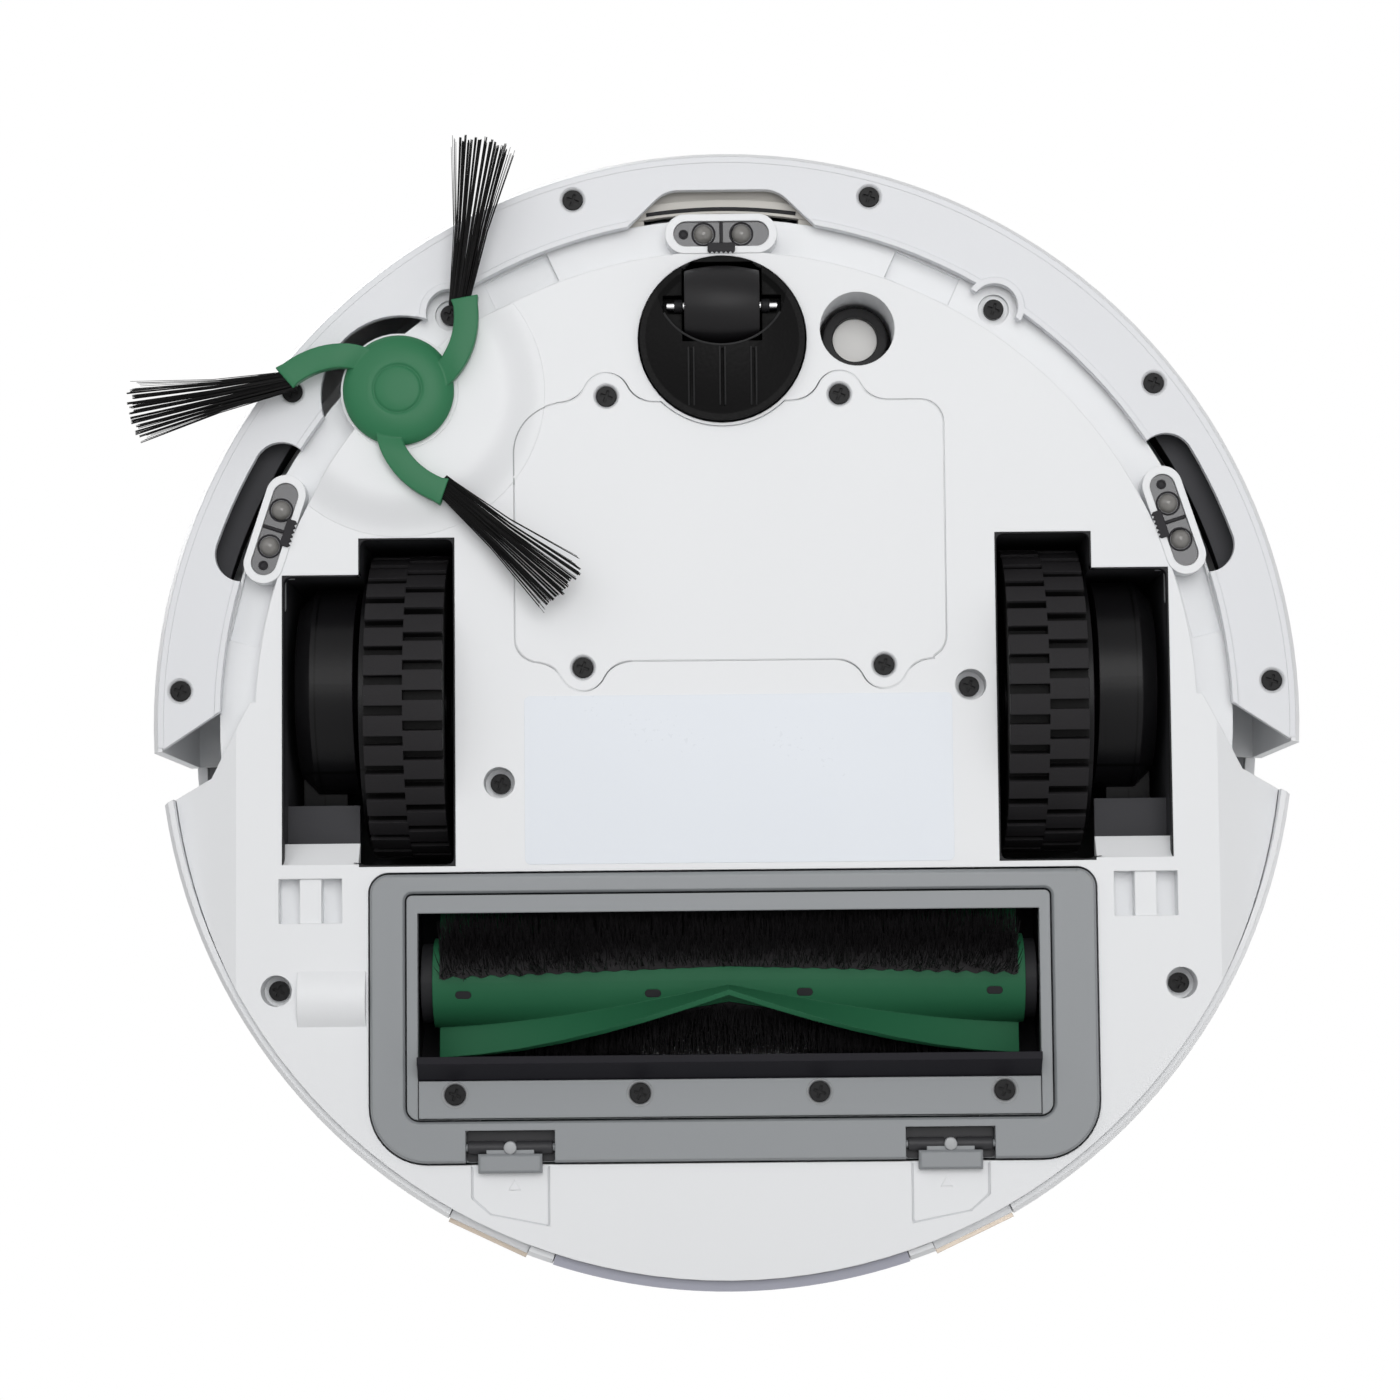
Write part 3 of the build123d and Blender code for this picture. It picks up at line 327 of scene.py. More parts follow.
def fresh():
    if bpy.context.object and bpy.context.object.mode != "OBJECT":
        bpy.ops.object.mode_set(mode="OBJECT")
    bpy.ops.object.select_all(action="DESELECT")


# the piece alone is selected and active
def only(piece):
    fresh()
    piece.select_set(True)
    bpy.context.view_layer.objects.active = piece


def placeApplied():
    bpy.ops.object.transform_apply(location=True, rotation=True, scale=True)
    return bpy.context.object


# a finished piece: its place goes into its mesh, then it gets a finish and a body to ride on
def finished(piece, name, slot, body, material=None, smooth=35):
    only(piece)
    placeApplied()
    if smooth:
        bpy.ops.object.shade_smooth_by_angle(angle=math.radians(smooth))
    piece.name = name
    piece.data.materials.clear()
    piece.data.materials.append(material or finishes[slot])
    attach(piece, body)
    return piece


def join(pieces):
    only(pieces[0])
    for piece in pieces[1:]:
        piece.select_set(True)
    bpy.ops.object.join()
    return bpy.context.object


def applyModifier(piece, kind, settings):
    only(piece)
    modifier = piece.modifiers.new("shape", kind)
    for key, value in settings.items():
        setattr(modifier, key, value)
    bpy.ops.object.modifier_apply(modifier="shape")


# selects the faces of a piece that pass a test, or all of them, and stays in edit mode
def pick(piece, test=None):
    only(piece)
    bpy.ops.object.mode_set(mode="EDIT")
    bpy.ops.mesh.select_mode(type="FACE")
    bpy.ops.mesh.select_all(action="DESELECT")
    bpy.ops.object.mode_set(mode="OBJECT")
    for face in piece.data.polygons:
        face.select = test(face) if test else True
    bpy.ops.object.mode_set(mode="EDIT")


def outward(piece):
    pick(piece)
    bpy.ops.mesh.remove_doubles(threshold=0.001 * mm)
    bpy.ops.mesh.normals_make_consistent(inside=False)
    bpy.ops.object.mode_set(mode="OBJECT")


# a lathe by hand: a disc is pulled out and scaled from ring to ring, each (radius, height)
def turned(at, rings, steps=64):
    fresh()
    x, y = at[0] * mm, at[1] * mm
    lastR, lastZ = rings[0]
    bpy.ops.mesh.primitive_circle_add(vertices=steps, radius=lastR * mm, fill_type="NGON", location=(x, y, lastZ * mm))
    piece = placeApplied()
    bpy.ops.object.mode_set(mode="EDIT")
    bpy.ops.mesh.select_all(action="SELECT")
    for r, z in rings[1:]:
        bpy.ops.mesh.extrude_region_move(TRANSFORM_OT_translate={"value": (0, 0, (z - lastZ) * mm)})
        bpy.ops.transform.resize(value=(r / lastR, r / lastR, 1), center_override=(x, y, z * mm))
        lastR, lastZ = r, z
    outward(piece)
    return piece


# a sheet with rows and columns, each point laid by a rule of two shares from 0 to 1
def laidSheet(columns, rows, spot):
    fresh()
    bpy.ops.mesh.primitive_grid_add(x_subdivisions=columns, y_subdivisions=rows, size=2)
    piece = bpy.context.object
    for vertex in piece.data.vertices:
        vertex.co = spot((vertex.co.x + 1) / 2, (vertex.co.y + 1) / 2)
    return piece


# a sheet gets its thickness by pulling it down, or up where the depth is below 0
def thickened(piece, depth):
    pick(piece)
    bpy.ops.mesh.extrude_region_move(TRANSFORM_OT_translate={"value": (0, 0, -depth * mm)})
    outward(piece)
    return piece


# a box with softened edges, its middle and size in millimetres
def softBox(middle, size, width):
    fresh()
    bpy.ops.mesh.primitive_cube_add(size=mm, location=Vector(middle) * mm)
    bpy.context.object.scale = size
    piece = placeApplied()
    applyModifier(piece, "BEVEL", {"width": width * mm, "segments": 2})
    return piece


def copied(piece, placing):
    twin = piece.copy()
    twin.data = piece.data.copy()
    twin.data.transform(placing)
    bpy.context.scene.collection.objects.link(twin)
    return twin


# copies of a model at each place; the model goes
def spread(model, placings):
    copies = [copied(model, placing) for placing in placings]
    bpy.data.objects.remove(model)
    return copies


# a piece on the robot's left, joined with its mirror twin on the right
def bothSides(piece):
    twin = copied(piece, Matrix.Diagonal((-1, 1, 1, 1)))
    outward(twin)
    return join([piece, twin])


def moved(x, y, z=0):
    return Matrix.Translation(Vector((x, y, z)) * mm)


def spun(degrees, axis="Z"):
    return Matrix.Rotation(math.radians(degrees), 4, axis)


def between(ends, share):
    return ends[0] + (ends[1] - ends[0]) * share


# a share from 0 to 1 becomes a place from -1 to 1
def centred(share):
    return 2 * share - 1


# strands are drawn as one curve of many short lines, then made a mesh
def strandMesh(lines, thickness):
    curve = bpy.data.curves.new("strands", "CURVE")
    curve.dimensions = "3D"
    curve.bevel_depth = thickness / 2
    curve.bevel_resolution = 0
    for points in lines:
        line = curve.splines.new("POLY")
        line.points.add(len(points) - 1)
        for spot, point in zip(line.points, points):
            spot.co = (*point, 1)
        for i, spot in enumerate(line.points):
            spot.radius = 1 - 0.5 * i / (len(points) - 1)
    piece = bpy.data.objects.new("strands", curve)
    bpy.context.scene.collection.objects.link(piece)
    only(piece)
    bpy.ops.object.convert(target="MESH")
    return bpy.context.object


# main brush: wide bands of nylon set in a V along the roll, on a dark bed
# a band is its first and last root angle in the middle and at the ends, and its count of strands
rollBrush = {"axisY": 55.8, "axisZ": 17.6, "coreR": 9.4, "bedR": 9.56, "tipR": 16.1, "half": 61.0, "thick": 0.2,
             "seed": 4, "tuftPitch": 4.0, "tuftDepth": 5.0, "sweep": 5, "lean": 1.0, "short": 1.5, "bend": 0.3,
             "bedThick": 0.3, "bedGrid": (124, 10)}
rollBrush["bands"] = ((-18, -104, -3, -62, 3300), (28, 70, 103, 145, 1300))


def onRoll(x, r, angle):
    turn = math.radians(angle)
    return Vector((x, rollBrush["axisY"] + r * math.sin(turn), rollBrush["axisZ"] - r * math.cos(turn))) * mm


def bandAngle(band, x, share):
    out = abs(x) / rollBrush["half"]
    ends = (between((band[0], band[2]), out), between((band[1], band[3]), out))
    notch = rollBrush["tuftDepth"] * (0.5 - 0.5 * math.cos(math.tau * x / rollBrush["tuftPitch"])) * out
    return between(ends, share) - notch * (1 - share)


def rollStrand(draw, band, turn, i):
    core, sway, lean = rollBrush["coreR"], rollBrush["sweep"], rollBrush["lean"]
    x = rollBrush["half"] * centred((i + draw.random()) / band[4])
    root = bandAngle(band, x, draw.random()) + turn
    sweep = draw.uniform(-sway, sway)
    tipX = x + draw.uniform(-lean, lean)
    tip = rollBrush["tipR"] - draw.uniform(0, rollBrush["short"]) ** 2 / 2
    middle = onRoll((x + tipX) / 2, (core + tip) / 2, root + rollBrush["bend"] * sweep)
    return (onRoll(x, core, root), middle, onRoll(tipX, tip, root + sweep))


def rollStrands():
    draw = random.Random(rollBrush["seed"])
    lines = []
    beds = []
    for turn in (0, 180):
        for band in rollBrush["bands"]:
            lines += [rollStrand(draw, band, turn, i) for i in range(band[4])]

            def bedSpot(across, share, band=band, turn=turn):
                x = rollBrush["half"] * centred(across)
                return onRoll(x, rollBrush["bedR"], bandAngle(band, x, share) + turn)

            bed = laidSheet(*rollBrush["bedGrid"], bedSpot)
            applyModifier(bed, "SOLIDIFY", {"thickness": rollBrush["bedThick"] * mm, "offset": 0})
            outward(bed)
            beds.append(bed)
    return join([strandMesh(lines, rollBrush["thick"] * mm), *beds])


rollNylon = nylon("roll nylon", (0.013, 0.012, 0.013), 0.5)
rollPiece = finished(rollStrands(), "roll_bristles", "bristle", "main_brush", rollNylon, 0)
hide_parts("brush_bristles")
print("roll bristles:", len(rollPiece.data.polygons), "faces")

# side brush hub: a soft dome with a ring groove, and three curled sleeves that hold the tufts
sideHub = {"at": (-69.0, -70.0), "tips": (-54.0, 66.0, 186.0), "armRoot": 8.6, "armTip": 24.2, "armCurl": 39.0,
           "armHalf": 2.58, "lip": 0.38, "armTop": 6.0, "armDeep": 2.9, "sleeve": 0.5, "sleeveDeep": 3.0,
           "sinkFrom": 13.4, "sinkRate": 0.3, "lipFrom": 0.93, "bevel": 0.28}
sideHub["rings"] = ((3.0, 24.0), (3.0, 6.0), (11.3, 6.0), (11.75, 5.8), (11.85, 5.4), (11.6, 4.9), (11.0, 4.35),
                    (10.2, 3.9), (9.2, 3.52), (8.0, 3.25), (6.8, 3.08), (5.7, 3.0), (5.35, 3.06), (5.2, 3.2),
                    (4.95, 3.2), (4.8, 3.02), (4.5, 2.9), (2.2, 2.82))


def armSpot(across, share):
    def middle(part):
        r = between((sideHub["armRoot"], sideHub["armTip"]), part)
        turn = math.radians(sideHub["armCurl"] * (1 - part))
        return Vector((r * math.cos(turn), r * math.sin(turn), 0))

    along = (middle(share + 0.01) - middle(share - 0.01)).normalized()
    flare = max(0, (share - sideHub["lipFrom"]) / (1 - sideHub["lipFrom"]))
    half = sideHub["armHalf"] + sideHub["lip"] * flare
    spot = middle(share) + Vector((-along.y, along.x, 0)) * half * centred(across)
    return (spot + Vector((*sideHub["at"], sideHub["armTop"]))) * mm


def makeHub():
    arm = thickened(laidSheet(1, 14, armSpot), sideHub["armDeep"])
    for vertex in arm.data.vertices:  # the root sinks into the dome
        r = (vertex.co.xy / mm - Vector(sideHub["at"])).length
        if vertex.co.z < (sideHub["armTop"] - 1) * mm:
            vertex.co.z += sideHub["sinkRate"] * max(0, sideHub["sinkFrom"] - r) * mm
    mouth = (armSpot(0, 1) + armSpot(1, 1)) / 2
    inward = ((armSpot(0, 0.99) + armSpot(1, 0.99)) / 2 - mouth).normalized()
    pick(arm, lambda face: face.normal.dot(inward) < -0.9 and (face.center - mouth).length < 2 * mm)
    bpy.ops.mesh.inset(thickness=sideHub["sleeve"] * mm)
    bpy.ops.mesh.extrude_region_move(TRANSFORM_OT_translate={"value": inward * sideHub["sleeveDeep"] * mm})
    applyModifier(arm, "BEVEL", {"width": sideHub["bevel"] * mm, "segments": 3, "limit_method": "ANGLE"})
    x, y = sideHub["at"]
    arms = spread(arm, [moved(x, y) @ spun(angle) @ moved(-x, -y) for angle in sideHub["tips"]])
    return join([turned(sideHub["at"], sideHub["rings"], 96), *arms])


hubPiece = finished(makeHub(), "side_hub", "brush_green", "side_brush", smooth=40)
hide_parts("side_brush_hub")
print("side brush hub:", len(hubPiece.data.polygons), "faces")

# side tufts: slender black fans of small clumps, with a few stray strands
sideTufts = {"lags": (16.5, 15.5, 11.5), "reach": 57.0, "clumps": 17, "strands": 15, "strays": 14, "rootHalf": 2.0,
             "tipHalf": 5.4, "strayHalf": 7.0, "thick": 0.2, "rootZ": (3.7, 5.5), "tipZ": (0.3, 0.7), "seed": 9,
             "rootIn": 2.2, "bow": 0.1, "lift": 0.2, "clumpDrift": 0.05, "tipDrift": 0.045, "rootDrift": 0.1,
             "sideCut": 0.8, "clumpCut": 1.4, "strandCut": 1.1, "strayFrom": 0.72, "strayCut": (1.0, 3)}


def tuftLines(draw, angle, lag):
    hub = Vector((*sideHub["at"], 0))
    start, end = math.radians(angle), math.radians(angle - lag)
    root = Vector((math.cos(start), math.sin(start), 0)) * (sideHub["armTip"] - sideTufts["rootIn"])
    tip = Vector((math.cos(end), math.sin(end), 0)) * sideTufts["reach"]
    run = (tip - root).length
    along = (tip - root).normalized()
    across = Vector((-along.y, along.x, 0))

    def strand(rootSide, tipSide, layer, cut):
        base = hub + root + across * sideTufts["rootHalf"] * rootSide
        base.z += between(sideTufts["rootZ"], layer)
        stop = hub + root + along * (run - cut) + across * tipSide
        stop.z += between(sideTufts["tipZ"], layer)
        middle = base * 0.5 + stop * 0.5 - across * tipSide * sideTufts["bow"] + Vector((0, 0, sideTufts["lift"]))
        return (base * mm, middle * mm, stop * mm)

    def drift(name):
        return draw.uniform(-sideTufts[name], sideTufts[name])

    lines = []
    for clump in range(sideTufts["clumps"]):
        side = centred((clump + 0.5) / sideTufts["clumps"]) + drift("clumpDrift")
        short = sideTufts["sideCut"] * side**2 + draw.uniform(0, sideTufts["clumpCut"])
        for i in range(sideTufts["strands"]):
            tipSide = sideTufts["tipHalf"] * (side + drift("tipDrift"))
            rootSide = side + drift("rootDrift")
            layer = draw.random()
            lines.append(strand(rootSide, tipSide, layer, short + draw.uniform(0, sideTufts["strandCut"]) ** 3))
    least, more = sideTufts["strayCut"]
    for i in range(sideTufts["strays"]):
        side = draw.choice((-1, 1)) * draw.uniform(sideTufts["strayFrom"], 1)
        layer = draw.random()
        lines.append(strand(side, sideTufts["strayHalf"] * side, layer, least + draw.uniform(0, more)))
    return lines


def sideStrands():
    draw = random.Random(sideTufts["seed"])
    lines = []
    for angle, lag in zip(sideHub["tips"], sideTufts["lags"]):
        lines += tuftLines(draw, angle, lag)
    return strandMesh(lines, sideTufts["thick"] * mm)


tuftPiece = finished(sideStrands(), "side_bristles", "bristle", "side_brush", smooth=0)
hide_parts("side_brush_bristles")
print("side bristles:", len(tuftPiece.data.polygons), "faces")

# full dome round the side brush, over the base and the door's corner, with the door's seam drawn on it
brushDome = {"inner": 12.6, "flat": 21.5, "outer": 31.0, "lowZ": 6.38, "highZ": 8.97, "edge": 99.95, "thick": 0.5,
             "turns": (-75, 195), "seamX": -44.75, "seamY": (-50.0, -56.4), "corner": (-33.6, -56.4, 11.15),
             "cornerTurn": 66.0, "seamHalf": 0.14, "straight": 0.35, "seamOut": 0.02, "seamThick": 0.1}


def domeHeight(spot):
    r = (spot - Vector(sideHub["at"])).length
    share = min(1, max(0, (r - brushDome["flat"]) / (brushDome["outer"] - brushDome["flat"])))
    return between((brushDome["lowZ"], brushDome["highZ"]), share * share * (3 - 2 * share))


def domeSpot(across, share):
    turn = math.radians(between(brushDome["turns"], across))
    r = between((brushDome["inner"], brushDome["outer"]), share)
    spot = Vector(sideHub["at"]) + Vector((math.cos(turn), math.sin(turn))) * r
    if spot.length > brushDome["edge"]:
        spot = spot * (brushDome["edge"] / spot.length)
    return Vector((*spot, domeHeight(spot))) * mm


def seamSpot(across, share):
    x, y, r = brushDome["corner"]
    off = brushDome["seamHalf"] * centred(share)
    straight = brushDome["straight"]
    if across < straight:
        spot = Vector((brushDome["seamX"] + off, between(brushDome["seamY"], across / straight)))
    else:
        turn = math.radians(180 + brushDome["cornerTurn"] * (across - straight) / (1 - straight))
        spot = Vector((x + (r - off) * math.cos(turn), y + (r - off) * math.sin(turn)))
    return Vector((*spot, domeHeight(spot) - brushDome["seamOut"])) * mm


domePiece = thickened(laidSheet(90, 16, domeSpot), -brushDome["thick"])
finished(domePiece, "brush_dome", "white_base", "chassis", smooth=50)
seamShade = moulded("seam shade", (0.42, 0.43, 0.44), 0.6)
seamPiece = thickened(laidSheet(20, 1, seamSpot), -brushDome["seamThick"])
finished(seamPiece, "dome_seam", "white_base", "chassis", seamShade, 50)
print("brush dome in place")

# small dark patches along the roll's core, on both of its sides: painted shade that stands for slots
coreSlots = {"x": (-56.0, -16.0, 16.0, 56.0), "angle": 16.0, "half": 1.7, "width": 0.85, "outR": 9.53, "deep": 1.2}


def makeCoreSlotShade():
    fresh()
    bpy.ops.mesh.primitive_circle_add(vertices=20, radius=coreSlots["width"] * mm, fill_type="NGON")
    model = bpy.context.object
    stretch = (coreSlots["half"] - coreSlots["width"]) * mm
    for vertex in model.data.vertices:
        vertex.co.x += math.copysign(stretch, vertex.co.x)
        vertex.co.z = -math.sqrt((coreSlots["outR"] * mm) ** 2 - vertex.co.y**2)
    thickened(model, -coreSlots["deep"])
    placings = []
    for x in coreSlots["x"]:
        for turn in (coreSlots["angle"], coreSlots["angle"] + 180):
            placings.append(moved(x, rollBrush["axisY"], rollBrush["axisZ"]) @ spun(turn, "X"))
    return join(spread(model, placings))


finished(makeCoreSlotShade(), "core_slot_shade", "dark_inner", "main_brush")
print("core slots in place")

# shallow cups round the screw heads; in white a little greyer than what they sit in, painted shade in the recess, and
# on the grey strip paler than the strip, a painted highlight
screwCups = {"outer": 2.74, "inner": 2.24, "drop": 0.42, "deep": 0.95, "proud": 0.02, "lip": 0.06, "lipRise": 0.01,
             "bumperR": 116.4, "bumperTurns": (15.9, 52.5, 86.7)}
bumperTurns = [math.radians(side * angle) for side in (1, -1) for angle in screwCups["bumperTurns"]]
bumperSpots = [(screwCups["bumperR"] * math.sin(turn), -screwCups["bumperR"] * math.cos(turn)) for turn in bumperTurns]
# painted shade: greyer than the white of the door and the bumper
cupShadeWhite = moulded("cup white painted shade", (0.7, 0.71, 0.73), 0.4, 0.02, 0.03)
screwCups["groups"] = {
    "door": {"z": 9.0, "spots": ((-24.9, -68.85), (24.9, -68.85), (-30.3, -10.7), (33.7, -10.7)),
             "slot": "white_base", "body": "chassis", "finish": cupShadeWhite},
    # painted highlight: the strip's cups are paler than the grey strip
    "strip": {"z": 6.9, "spots": ((-57.7, 79.3), (-18.85, 79.3), (18.85, 79.3), (57.7, 79.3)),
              "slot": "grey_frame", "body": "mouth_frame",
              "finish": moulded("cup grey painted highlight", (0.4, 0.41, 0.42), 0.4, 0.03, 0.03)},
    "bumper": {"z": 11.0, "spots": bumperSpots, "slot": "white_ring", "body": "bumper", "finish": cupShadeWhite},
}


def makeCups(group):
    z = group["z"] + screwCups["proud"]
    outer, inner, lip = screwCups["outer"], screwCups["inner"], screwCups["lip"]
    bottom = z + screwCups["deep"]
    rings = ((outer, bottom), (outer, z), (outer - lip, z - screwCups["lipRise"]), (inner, z + screwCups["drop"]),
             (inner - lip, bottom - screwCups["proud"]))
    return join(spread(turned((0, 0), rings, 40), [moved(x, y) for x, y in group["spots"]]))


for name, group in screwCups["groups"].items():
    finished(makeCups(group), f"{name}_screw_cups", group["slot"], group["body"], group["finish"], 40)
print("screw cups in place")

# a pale seal just inside the battery door's edge, so that its seam is a thin soft line
doorSeal = {"grow": 0.23, "sink": 0.14}


def makeDoorSeal():
    low, high = [Vector(corner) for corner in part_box("battery_door")]
    centre = (low + high) / 2
    size = high - low
    seal = nodes["battery_door"].copy()
    seal.data = nodes["battery_door"].data.copy()
    for key in list(seal.keys()):
        del seal[key]
    bpy.context.scene.collection.objects.link(seal)
    outward(seal)
    more = 2 * doorSeal["grow"] * mm
    grow = Matrix.Diagonal((1 + more / size.x, 1 + more / size.y, 1, 1))
    around = Matrix.Translation(centre) @ grow @ Matrix.Translation(-centre)
    seal.data.transform(moved(0, 0, doorSeal["sink"]) @ around)
    return seal


finished(makeDoorSeal(), "door_seal", "white_base", "chassis")
print("door seal in place")

# drop sensors: a divider, a toothed tab toward the robot's middle, a moulded ring and two clear domes each
# a rim is rings of (radius, height from the sensor's face), with a dome's radii counted from its own
dropSensor = {"places": ((0.0, -103.8, 0), (95.8, -41.0, 72), (-95.8, -41.0, -72)), "half": 2.65, "domeX": (-3.8, 4.3),
              "domeR": 2.15, "domeZ": 10.2, "backZ": 11.3, "tabHalf": 2.95, "tabOut": 4.35, "tabZ": 8.82,
              "tabThick": 0.5, "tabIn": 0.6, "teeth": 6, "toothDeep": 0.55, "faceZ": 9.6, "ringX": -8.1,
              "dividerSize": (0.75, 5.2, 0.7), "dividerUp": 0.25, "dividerBevel": 0.15}
dropSensor["ringRim"] = ((1.05, 0.1), (1.05, -0.12), (0.95, -0.16), (0.7, -0.16), (0.6, -0.02))
dropSensor["domeRim"] = ((0.45, 0.1), (0.45, -0.1), (0.3, -0.22), (0.1, -0.22), (0, 0.05))


def makeTab():
    teeth = dropSensor["teeth"]
    inEdge = dropSensor["half"] - dropSensor["tabIn"]

    def tabSpot(across, share):
        zigzag = abs(round(across * 2 * teeth)) % 2
        outEdge = dropSensor["tabOut"] - dropSensor["toothDeep"] * (1 - zigzag)
        return Vector((dropSensor["tabHalf"] * centred(across), between((inEdge, outEdge), share),
                       dropSensor["tabZ"])) * mm

    return thickened(laidSheet(2 * teeth, 1, tabSpot), dropSensor["tabThick"])


def makeSensorTrim():
    z = dropSensor["faceZ"]
    middle = (0, 0, z - dropSensor["dividerUp"])
    divider = softBox(middle, dropSensor["dividerSize"], dropSensor["dividerBevel"])
    pieces = [makeTab(), divider]
    pieces.append(turned((dropSensor["ringX"], 0), [(r, z + up) for r, up in dropSensor["ringRim"]], 32))
    rim = [(dropSensor["domeR"] + out, z + up) for out, up in dropSensor["domeRim"]]
    pieces += [turned((x, 0), rim, 40) for x in dropSensor["domeX"]]
    return join(pieces)


def makeDomes():
    domes = []
    for x in dropSensor["domeX"]:
        fresh()
        bpy.ops.mesh.primitive_uv_sphere_add(segments=32, ring_count=20, radius=dropSensor["domeR"] * mm,
                                             location=(x * mm, 0, dropSensor["domeZ"] * mm))
        dome = placeApplied()
        pick(dome)
        back = (0, 0, dropSensor["backZ"] * mm)
        bpy.ops.mesh.bisect(plane_co=back, plane_no=(0, 0, 1), clear_outer=True, use_fill=True)
        bpy.ops.object.mode_set(mode="OBJECT")
        domes.append(dome)
    return join(domes)


def placedAll(piece, name, slot, body, material=None):
    copies = spread(piece, [moved(x, y) @ spun(turn) for x, y, turn in dropSensor["places"]])
    return [finished(copy, f"{name}_{i}", slot, body, material, 40) for i, copy in enumerate(copies)]


sensorBlack = moulded("dark sensor plastic", (0.022, 0.021, 0.024), 0.45, 0.1, 0.04, more=dull)
placedAll(makeSensorTrim(), "sensor_trim", "dark_inner", "chassis", sensorBlack)
for dome in placedAll(makeDomes(), "sensor_dome", "clear_lens", "chassis"):
    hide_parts("cliff_lenses")
print("drop sensors in place")

# dark flange round each wheel well, with rounded inner corners; open at the pale ledge
wellFlange = {"z": 9.1, "deep": 2.6, "width": 0.35, "corner": 1.5, "ledgeY": 26.0, "ledgeX": 79.0}
wellFlange["outline"] = ((57.5, -38.8), (78.0, -38.8), (78.0, -31.0), (94.3, -31.0), (94.3, 30.6), (78.0, 30.6),
                         (78.0, 31.2), (57.5, 31.2))


def makeFlange():
    fresh()
    spots = wellFlange["outline"]
    bpy.ops.mesh.primitive_circle_add(vertices=len(spots), radius=mm, fill_type="NGON")
    piece = bpy.context.object
    for vertex, (x, y) in zip(piece.data.vertices, spots):
        vertex.co = Vector((x, y, wellFlange["z"])) * mm
    pick(piece)
    bpy.ops.mesh.inset(thickness=wellFlange["width"] * mm)
    bpy.ops.mesh.bevel(offset=wellFlange["corner"] * mm, segments=5, affect="VERTICES")
    bpy.ops.object.mode_set(mode="OBJECT")
    biggest = max(face.area for face in piece.data.polygons)
    pick(piece, lambda face: face.area > 0.9 * biggest)
    bpy.ops.mesh.delete(type="FACE")
    ledgeX, ledgeY = wellFlange["ledgeX"] * mm, wellFlange["ledgeY"] * mm
    pick(piece, lambda face: face.center.y > ledgeY and face.center.x > ledgeX)
    bpy.ops.mesh.delete(type="FACE")
    return thickened(piece, -wellFlange["deep"])


finished(bothSides(makeFlange()), "well_flanges", "dark_inner", "chassis", smooth=40)
print("wheel well flanges in place")

# caster: raised ribs on the dome and a bead along the scoop, both paler than the dome for a painted highlight on their
# edges, and dark sleeves that leave the pin's ends bright
casterTrim = {"centreY": -81.0, "domeZ": 3.0, "ballR": 32.76, "ribX": (-7.2, -6.1, -0.55, 0.55, 6.1, 7.2),
              "ribHalf": 0.17, "ribY": (2.6, 14.6), "ribRaise": 0.26, "ribDeep": 0.8, "scoopY": -92.8, "scoopR": 14.05,
              "beadHalf": 0.22, "beadTurn": 62.0, "beadRaise": 0.1, "beadDeep": 0.6, "bevel": 0.1}


def onDome(x, y, lift):
    off = math.hypot(x, y - casterTrim["centreY"])
    z = casterTrim["domeZ"] + casterTrim["ballR"] - math.sqrt(casterTrim["ballR"] ** 2 - off**2)
    return Vector((x, y, z - lift)) * mm


def makeCasterTrim():
    pieces = []
    for middle in casterTrim["ribX"]:

        def ribSpot(across, share, middle=middle):
            y = casterTrim["centreY"] + between(casterTrim["ribY"], share)
            return onDome(middle + casterTrim["ribHalf"] * centred(across), y, casterTrim["ribRaise"])

        pieces.append(thickened(laidSheet(1, 14, ribSpot), -casterTrim["ribDeep"]))

    def beadSpot(across, share):
        turn = math.radians(casterTrim["beadTurn"] * centred(share))
        r = casterTrim["scoopR"] + casterTrim["beadHalf"] * centred(across)
        return onDome(r * math.sin(turn), casterTrim["scoopY"] + r * math.cos(turn), casterTrim["beadRaise"])

    pieces.append(thickened(laidSheet(1, 60, beadSpot), -casterTrim["beadDeep"]))
    trim = join(pieces)
    applyModifier(trim, "BEVEL", {"width": casterTrim["bevel"] * mm, "segments": 2, "limit_method": "ANGLE"})
    return trim


# two sleeves on one rod along X, each turned from rings of (radius, distance from the middle)
def sleevePair(middle, rings, steps):
    return join(spread(turned((0, 0), rings, steps), [moved(*middle) @ spun(turn, "Y") for turn in (90, -90)]))


# painted highlight: ribs and bead in a paler black than the dome
ridgeHighlightBlack = moulded("caster ridge black painted highlight", (0.024, 0.024, 0.025), 0.45, 0.1, 0.05, more=dull)
finished(makeCasterTrim(), "caster_trim", "caster_black", "caster", ridgeHighlightBlack, 40)
pinSleeve = {"middle": (0, -88.0, 8.6), "rings": ((1.25, 8.35), (1.45, 8.5), (1.45, 10.0), (1.2, 10.2)), "steps": 32}
finished(sleevePair(**pinSleeve), "pin_sleeves", "caster_black", "caster", finishes["dark_inner"], 40)
print("caster trim in place")

